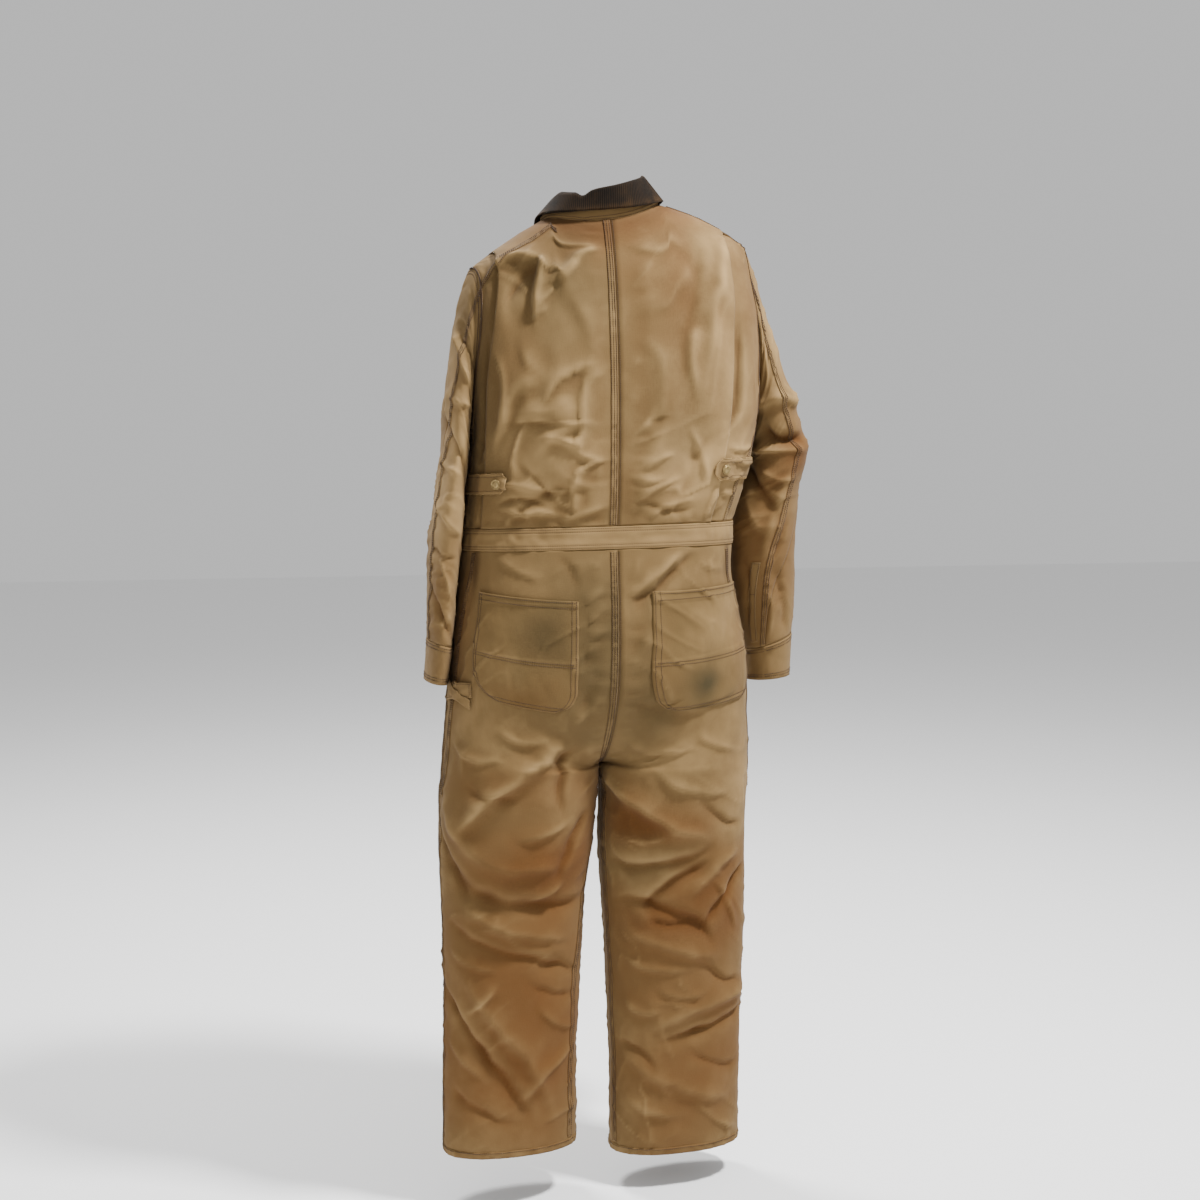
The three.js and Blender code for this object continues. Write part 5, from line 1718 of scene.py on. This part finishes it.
@dataclass
class BandPanel(Panel):
    """Waistband: u runs from one front edge round the back to the other, v from the top to the bottom."""

    tops: dict = field(default_factory=dict)
    lows: dict = field(default_factory=dict)

    def __post_init__(self) -> None:
        """Makes the panels above and below the band."""
        self.turn = 1
        for side in Side:
            for face in Face:
                self.tops[side, face] = TrunkPanel(side, face)
                self.lows[side, face] = LegPanel(side, face)

    def point(self, u: Array, v: Array) -> Array:
        """Straight line from the trunk's lower edge to the legs' upper edge."""
        u, v = np.broadcast_arrays(u, v)
        around = mix(-1, 1, u)
        points = np.zeros((*u.shape, 3))
        for side in Side:
            for face in Face:
                share = np.abs(around) * 2
                here = (np.sign(around + 1e-9) == side.value) & ((share < 1) == (face is Face.BACK))
                if not here.any():
                    continue
                across = np.where(share < 1, share, 2 - share)[here]
                zero = np.zeros_like(across)
                top = self.tops[side, face].point(across, zero)
                low = self.lows[side, face].point(1 - across, zero)
                points[here] = mix(top, low, mix(0.01, 0.99, v[here])[..., None])
        gap = (np.abs(around) > 0.5) & (np.abs(points[..., 0]) < ZIP_GAP)
        points[..., 0] = np.where(gap, np.sign(around) * ZIP_GAP, points[..., 0])
        return points

    def flat(self, u: Array, v: Array) -> tuple[Array, Array]:
        """Place on the flat band."""
        return u * BAND_FLAT[0], v * BAND_FLAT[1]

    def height(self, u: Array, v: Array) -> Array:
        """Puckers between the rows of stitches."""
        u, v = np.broadcast_arrays(u, v)
        between = hump(v, 0.5, 0.3) + 0.35
        return between * (1.5 * smooth_noise(u * 96, v * 2.2, 3) + 1.1 * smooth_noise(u * 37, v * 1.3, 4))


@dataclass
class Waistband(Tailor):
    """Band between the trunk and the legs."""

    def build(self) -> None:
        """Builds the band with two rows of stitches at each edge."""
        panel = BandPanel(Side.LEFT)
        _, out = panel.skin(np.array([0.5]), np.array([0.5]))
        if out[0, 1] < 0:
            panel.turn = -1
        cloth = Cloth("cloth_waistband", ((560, 20, 200, 40, Tone.FADE, 0.3),))

        def edge(u: Array, v: Array) -> Array:
            grooves = sum(hump(v, row, 0.035) for row in BAND_ROWS)
            return 1.7 - 0.9 * ease((0.06 - v) / 0.06) - 0.9 * ease((v - 0.94) / 0.06) - 0.7 * grooves

        cloth.add(panel, lambda a, b: (mix(0.0005, 0.9995, a), b), 330, 26, edge, 3.4, ridge=0.3)
        thread = Stitching("stitches_waistband")
        for v in BAND_ROWS:
            thread.row(panel, line_v(v, 0.002, 0.998), 1.0)
        self.sew(cloth, thread, self.finishes.light, "waistband", CUTS["waistband"])


@dataclass
class CollarPanel(Panel):
    """Neck surface: u runs once round from the front to the front, v up the stand or over the fall."""

    falls: bool = False
    wale: float = 3.3
    around: float = 560.0
    necks: dict = field(default_factory=dict)

    def __post_init__(self) -> None:
        """Makes the trunk panels that the neck seam lies on."""
        self.turn = 1
        for side in Side:
            for face in Face:
                self.necks[side, face] = TrunkPanel(side, face)

    def neck(self, degrees: Array) -> Array:
        """Neck seam by its angle from the centre back."""
        points = np.zeros((*degrees.shape, 3))
        for side in Side:
            for face in Face:
                behind = np.abs(degrees) <= 90
                here = ((degrees >= 0) == (side is Side.LEFT)) & (behind == (face is Face.BACK))
                if not here.any():
                    continue
                x = NECK_HALF * np.abs(np.sin(np.radians(degrees[here])))
                share = x / float(smooth_read(TRUNK, 1 if side is Side.LEFT else 2, SHOULDER))
                across = np.arcsin(share**1.3) / (math.pi / 2)
                points[here] = self.necks[side, face].point(across, np.ones_like(x))
        return points

    def point(self, u: Array, v: Array) -> Array:
        """Smooth surface of the stand or the fall."""
        u, v = np.broadcast_arrays(u, v)
        degrees = mix(-180, 180, u)
        angle = np.radians(degrees)
        out = unit(np.stack([np.sin(angle), NECK_LONG * np.cos(angle), 0 * angle], -1))
        top = smooth_read(COLLAR, 1, degrees)
        if self.falls:
            start = top - STAND_DROP + 1.2
            rolled, upper = v <= FALL_HANGS, np.minimum(v, FALL_HANGS)
            hung = np.clip((v - FALL_HANGS) / 0.38, 0, 1)
            free = mix(FALL_REACH, smooth_read(COLLAR, 3, degrees), hung)
            low = mix(mix(start, top, 0.7), smooth_read(COLLAR, 2, degrees), hung)
            reach = np.where(rolled, smooth_read(FALL, 1, upper), free)
            height = np.where(rolled, mix(start, top, smooth_read(FALL, 2, upper)), low)
        else:
            reach = 0.2 + 1.5 * v
            height = mix(-1.6 - 2.4 * ease((np.abs(degrees) - 60) / 30), top - STAND_DROP, v)
        up = np.stack([0 * height, 0 * height, height], -1)
        inward = COLLAR_LEAN * np.sin(angle) ** 2 * np.maximum(height - 6, 0)
        return self.neck(degrees) + out * (reach - inward)[..., None] + up

    def flat(self, u: Array, v: Array) -> tuple[Array, Array]:
        """Place on the flat collar."""
        return u * self.around, v * COLLAR_DEEP

    def height(self, u: Array, v: Array) -> Array:
        """Wales of the corduroy, or the puckers of the stand."""
        u, v = np.broadcast_arrays(u, v)
        if not self.falls:
            return 0.5 * smooth_noise(u * 60, v * 3, 6)
        sway = smooth_noise(u * 24, v * 5, 8)
        wales = np.abs(np.sin(math.pi * (u * self.around + 0.8 * sway) / self.wale)) ** 0.7
        bent = 1.4 * smooth_noise(u * 13, v * 1.5, 9) * ease((v - 0.4) / 0.2)
        return 0.75 * (wales - 1) + bent - 0.6


@dataclass
class Collar(Tailor):
    """Duck stand and corduroy fall."""

    def build(self) -> None:
        """Builds the stand with its stitches and the fall with its wales."""
        stand = CollarPanel(Side.LEFT, around=560)
        fall = CollarPanel(Side.LEFT, falls=True, around=600)
        for panel in (stand, fall):
            _, out = panel.skin(np.array([0.5]), np.array([0.9]))
            panel.turn = 1 if out[0, 1] > 0 else -1
        cloth = Cloth("cloth_collar_stand")
        cloth.add(stand, lambda a, b: (mix(0.001, 0.999, a), b), 180, 12, thick=2.2)
        thread = Stitching("stitches_collar_stand")
        for v in (0.1, 0.24):
            thread.row(stand, line_v(v, 0.004, 0.996), 0.15)
        self.sew(cloth, thread, self.finishes.light, "collar_stand", CUTS["collar_stand"])
        cloth = Cloth("cloth_collar_fall")
        a, b = np.meshgrid(np.linspace(0.001, 0.999, 801), np.linspace(0, 1, 23), indexing="ij")
        outer, normal = fall.skin(a, b)
        wales = fall.height(a, b)
        edge = 1.1 * ease((b - 0.84) / 0.12) * (0.55 + 0.6 * smooth_noise(a * 60, b * 3, 12))
        # Wale tops and the lower edge come out pale as wear; the grooves come out dark as painted shade
        ridge = (wales - soften(wales, 10)) * 2.5 + edge
        cloth.add_grid(outer, outer - normal * 1.7, np.stack(fall.flat(a, b), -1), ridge)
        made = cloth.make(self.finishes.cord)
        declare(made, "collar_fall", "corduroy", *CUTS["collar_fall"])


@dataclass
class Fittings(Tailor):
    """What is sewn on: pockets, waist tabs with buttons, tool loop, sleeve facing and zip."""

    def build(self) -> None:
        """Builds all fittings."""
        for side in Side:
            self.pocket(side)
            self.tab(side)
        self.loop()
        self.placket()
        self.zip()

    def pocket(self, side: Side) -> None:
        """Seat pocket with a hemmed mouth, a doubled lower part and double stitches all round."""
        panel = leg_panel(side, Face.BACK)
        rows = POCKETS[side]
        first, last = rows[0][0], rows[-1][0]

        def place(a: Array, b: Array) -> tuple[Array, Array]:
            v = mix(first, last, b)
            drop = 0.012 * b * (1 - a) if side is Side.RIGHT else 0.006 * a * (1 - b) ** 2
            return mix(smooth_read(rows, 1, v), smooth_read(rows, 2, v), a), v + drop

        def off(u: Array, v: Array) -> Array:
            b = (v - first) / (last - first)
            outer, inner = smooth_read(rows, 1, v), smooth_read(rows, 2, v)
            a = np.clip((u - outer) / (inner - outer), 0, 1)
            rim = ease(a / 0.035) * ease((1 - a) / 0.035) * ease((1 - b) / 0.03)
            dents = smooth_noise(a * 5, b * 6, 21 + side.value) * 1.1 * rim
            doubled = 0.9 * ease((b - 0.56) / 0.012)
            hem = 1.0 * (1 - ease((b - 0.085) / 0.012)) + 1.6 * (1 - ease(b / 0.05))
            return 1.3 + 1.0 * rim + dents + doubled + hem

        cloth = Cloth(f"cloth_pocket_back_{side.word}", POCKET_TONES[side])
        cloth.add(panel, place, 60, 84, off, 1.5)
        thread = Stitching(f"stitches_pocket_{side.word}")
        lift = lambda u, v: off(u, v) + 0.1
        for a in (0.018, 0.05):
            thread.row(panel, on(place, line_down(a, 0.0, 0.985)), lift)
            thread.row(panel, on(place, line_down(1 - a, 0.0, 0.985)), lift)
        for b in (0.985, 0.955, 0.58, 0.605, 0.07, 0.02):
            thread.row(panel, on(place, line_v(b, 0.02, 0.98)), lift)
        node = f"pocket_back_{side.word}"
        self.sew(cloth, thread, self.finishes.worn, node, CUTS["pocket"], slot="duck_worn")

    def tab(self, side: Side) -> None:
        """Waist tab with frayed edges, stitches and its button."""
        start, end, level, half, button = TABS[side]
        panel = trunk_panel(side, Face.BACK)

        def place(a: Array, b: Array) -> tuple[Array, Array]:
            narrow = np.where(a > TIP_START, 1 - TIP_NARROW * (a - TIP_START) / TIP_LONG, 1.0)
            frayed = 1 + 0.07 * smooth_noise(a * 40, b * 2, 31) * np.abs(b * 2 - 1)
            return mix(start, end, a), level + (b * 2 - 1) * half * narrow * frayed

        def lift(u: Array, v: Array) -> Array:
            return 2.7 + (PLEAT_LIFT + 2.4) * ease((pleat_edge(side, level + 0 * u) + 0.1 - u) / 0.09)

        cloth = Cloth(f"cloth_tab_{side.word}")
        worn = np.zeros((61, 15))
        worn[:, (0, 1, 13, 14)] = 3.0
        worn[-3:] = 3.0
        cloth.add(panel, place, 60, 14, lift, 2.0, ridge=worn)
        thread = Stitching(f"stitches_tab_{side.word}", pitch=3.0, length=2.3, width=0.8)
        for b in (0.16, 0.84):
            thread.row(panel, on(place, line_v(b, 0.01, 0.95)), lift)
        fibres = Stitching(f"fibres_tab_{side.word}", pitch=0.9, length=1.6, width=0.35)
        for b in (0.0, 1.0):
            fibres.row(panel, on(place, line_v(b, 0.3, 1.0)), lift)
        made = cloth.make(self.finishes.light)
        sewn = [thread.make(self.finishes.dark_thread), fibres.make(self.finishes.thread)]
        declare(made, f"tab_{side.word}", "duck", (abs(start - end) * TRUNK_FLAT[0], 36), 0.95, sewn)
        centre, out = panel.skin(np.array([button]), np.array([level]), lift(np.array([button]), 0) + 0.3)
        self.button(side, Vector(centre[0] * MM), Vector(out[0]))

    def button(self, side: Side, centre: Vector, out: Vector) -> None:
        """Pressed metal button with a hollow rim and a raised middle.

        Args:
            side: Which tab it closes.
            centre: Its seat in metres.
            out: The direction that it faces.
        """
        bpy.ops.object.select_all(action="DESELECT")
        middle = (0, 0, 1.3 * MM)
        bpy.ops.mesh.primitive_cylinder_add(vertices=36, radius=8.3 * MM, depth=1.8 * MM, location=middle)
        made = bpy.context.object
        made.name = f"brass_button_{side.word}"
        bpy.ops.object.transform_apply(location=True, rotation=True, scale=True)
        bpy.ops.object.mode_set(mode="EDIT")
        bpy.ops.mesh.select_all(action="DESELECT")
        bpy.ops.object.mode_set(mode="OBJECT")
        for polygon in made.data.polygons:
            polygon.select = polygon.normal.z > 0.9
        bpy.ops.object.mode_set(mode="EDIT")
        bpy.ops.mesh.select_mode(type="FACE")
        bpy.ops.mesh.inset(thickness=1.7 * MM)
        bpy.ops.transform.translate(value=(0, 0, -0.8 * MM))
        bpy.ops.mesh.inset(thickness=1.4 * MM)
        bpy.ops.mesh.inset(thickness=0.6 * MM)
        bpy.ops.transform.translate(value=(0, 0, 1.1 * MM))
        bpy.ops.mesh.inset(thickness=2.2 * MM)
        bpy.ops.transform.translate(value=(0, 0, 0.35 * MM))
        bpy.ops.object.mode_set(mode="OBJECT")
        bevel = made.modifiers.new("edge", "BEVEL")
        bevel.width = 0.3 * MM
        bevel.segments = 2
        bevel.limit_method = "ANGLE"
        bpy.ops.object.modifier_apply(modifier=bevel.name)
        bpy.ops.object.shade_smooth()
        turn = out.to_track_quat("Z", "Y").to_matrix().to_4x4()
        turn.translation = centre
        made.data.transform(turn)
        made.data.materials.clear()
        made.data.materials.append(self.finishes.metal)
        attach(made, "root")
        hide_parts(f"button_{side.word}")
        log.info("%s", made.name)

    def loop(self) -> None:
        """Tool loop on the left side, with a second strand that crosses the first."""
        panel = leg_panel(Side.LEFT, Face.BACK)

        def place(a: Array, b: Array) -> tuple[Array, Array]:
            return mix(0.02, 0.318, a), mix(mix(0.216, 0.2, a), mix(0.246, 0.222, a), b)

        def lift(u: Array, v: Array) -> Array:
            return 2.7 + 5 * np.sin(np.clip((u - 0.02) / 0.298, 0, 1) * math.pi)

        cloth = Cloth("cloth_tool_loop")
        cloth.add(panel, place, 46, 12, lift, 2.0, ridge=0.8)
        crossing = lambda a, b: (mix(0.03, 0.31, a), mix(mix(0.205, 0.226, a), mix(0.221, 0.241, a), b))
        cloth.add(panel, crossing, 40, 8, lambda u, v: lift(u, v) + 2.4, 1.6, ridge=0.8)
        thread = Stitching("stitches_tool_loop", pitch=3.2, length=2.5, width=0.8)
        for b in (0.12, 0.88):
            thread.row(panel, on(place, line_v(b, 0.01, 0.99)), lift)
        for a in (0.02, 0.06, 0.95, 0.98):
            thread.row(panel, on(place, line_down(a, 0.08, 0.92)), lift)
        self.sew(cloth, thread, self.finishes.light, "tool_loop", CUTS["tool_loop"])

    def placket(self) -> None:
        """Facing of the right sleeve's opening."""
        panel = SleevePanel(Side.RIGHT, creases=SLEEVE_FOLDS[Side.RIGHT], seed=70)

        def place(a: Array, b: Array) -> tuple[Array, Array]:
            return mix(0.262, 0.14, b) + (a - 0.5) * 0.085, mix(0.79, 0.985, b)

        cloth = Cloth("cloth_sleeve_placket")
        cloth.add(panel, place, 10, 60, lambda u, v: 1.6, 1.4, ridge=0.3)
        thread = Stitching("stitches_sleeve_placket")
        for a in (0.12, 0.88):
            thread.row(panel, on(place, line_down(a, 0.01, 0.99)), 1.7)
        for b in (0.02, 0.5):
            thread.row(panel, on(place, line_v(b, 0.1, 0.9)), 1.7)
        self.sew(cloth, thread, self.finishes.light, "sleeve_placket", CUTS["sleeve_placket"])

    def zip(self) -> None:
        """Zip tape with two rows of teeth that mesh."""
        trunk = TrunkPanel(Side.LEFT, Face.FRONT, TRUNK_FOLDS[Side.LEFT])
        leg = LegPanel(Side.LEFT, Face.FRONT, LEG_FOLDS[Side.LEFT])
        upper, upper_out = trunk.skin(np.zeros(120), np.linspace(0.983, 0.004, 120))
        down = np.linspace(0.002, 0.3, 160)
        lower, lower_out = leg.skin(np.ones_like(down), down)
        kept = lower[:, 2] > ZIP_END + 3
        line = np.concatenate([upper, lower[kept]])
        out = np.concatenate([upper_out, lower_out[kept]])
        line[:, 0] = 0
        out[:, 0] = 0
        out = unit(out)
        gone = np.concatenate([[0], np.cumsum(np.linalg.norm(np.diff(line, axis=0), axis=1))])
        sample = lambda d, values: np.stack([np.interp(d, gone, values[:, k]) for k in range(3)], -1)
        even = np.linspace(0, gone[-1], 160)
        middle, normal = sample(even, line), unit(sample(even, out))
        across = np.linspace(-12.8, 12.8, 9)
        sway = np.stack([across, 0 * across, 0 * across], -1)
        outer = middle[None] + sway[:, None] - 4.3 * normal[None]
        flat = np.stack(np.broadcast_arrays(across[:, None], even[None]), -1)
        cloth = Cloth("cloth_zip_tape")
        cloth.add_grid(outer, outer - 1.1 * normal[None], flat, np.zeros(flat.shape[:2]))
        made = cloth.make(self.finishes.light)
        teeth = Stitching("brass_zip_teeth", pitch=1.0, length=2.0, width=1.15, proud=1.6)
        places = np.arange(2.0, gone[-1] - 2, 1.25)
        for number, side in enumerate((-1.0, 1.0)):
            own = places[number::2]
            spot, up = sample(own, line), unit(sample(own, out))
            for centre, face in zip(spot, up):
                middle_x = centre + np.array([side * 0.7, 0, 0]) - 2.6 * face
                ends = middle_x + np.array([[-1.7, 0, 0], [1.7, 0, 0]])
                teeth.block(ends, face, 1.1, 1.8)
        declare(made, "zip", "zip_brass", *CUTS["zip"], [teeth.make(self.finishes.metal)])


@dataclass
class Studio:
    """Camera, floor and light."""

    camera_at: tuple[float, float, float] = (0.6048, 2.4257, -0.43)
    target: tuple[float, float, float] = (0.0, 0.0, -0.655)
    lens: float = 43.6
    floor_z: float = -1.70

    def build(self) -> None:
        """Sets the camera first, then the floor and the lights."""
        data = bpy.data.cameras.new("camera")
        data.lens = self.lens
        data.sensor_width = 36.0
        camera = bpy.data.objects.new("camera", data)
        camera.location = self.camera_at
        ahead = Vector(self.target) - Vector(self.camera_at)
        camera.rotation_euler = ahead.to_track_quat("-Z", "Y").to_euler()
        bpy.context.scene.collection.objects.link(camera)
        bpy.context.scene.camera = camera
        self.floor()
        self.area("key", (-1.35, 1.05, 2.2), (0, 0, -0.7), 0.4, 310)
        self.area("fill", (2.4, 2.4, 0.6), (0, 0, -0.8), 2.0, 12)
        self.area("front", (0.9, -1.6, 2.1), (0, 0, -0.7), 0.8, 150)
        world = bpy.data.worlds.new("studio")
        world.use_nodes = True
        background = world.node_tree.nodes["Background"]
        background.inputs["Color"].default_value = (1, 1, 1, 1)
        background.inputs["Strength"].default_value = 0.65
        bpy.context.scene.world = world

    def floor(self) -> None:
        """Pale plain floor."""
        bpy.ops.object.select_all(action="DESELECT")
        bpy.ops.mesh.primitive_plane_add(size=30, location=(0, 0, self.floor_z))
        made = bpy.context.object
        made.name = "floor"
        bpy.ops.object.transform_apply(location=True, rotation=True, scale=True)
        s = Shader("floor")
        made.data.materials.append(s.finish(None, 0, 0, Base_Color=(0.9, 0.9, 0.9, 1), Roughness=0.9))

    def area(self, name: str, at: tuple, target: tuple, size: float, power_w: float) -> None:
        """Soft square light that faces a target."""
        data = bpy.data.lights.new(name, "AREA")
        data.size = size
        data.energy = power_w
        made = bpy.data.objects.new(name, data)
        made.location = at
        made.rotation_euler = (Vector(target) - Vector(at)).to_track_quat("-Z", "Y").to_euler()
        bpy.context.scene.collection.objects.link(made)


def main() -> None:
    """Builds the studio and the suit."""
    logging.basicConfig(level=logging.INFO, format="%(message)s")
    Studio().build()
    finishes = Finishes.make()
    trunk, legs, sleeves = Trunk(finishes), Legs(finishes), Sleeves(finishes)
    for side in Side:
        trunk.build(side)
        legs.build(side)
        sleeves.build(side)
    Waistband(finishes).build()
    Collar(finishes).build()
    Fittings(finishes).build()
    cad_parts["zip_slider"].data.materials.clear()
    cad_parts["zip_slider"].data.materials.append(finishes.metal)


if __name__ == "__main__":
    main()
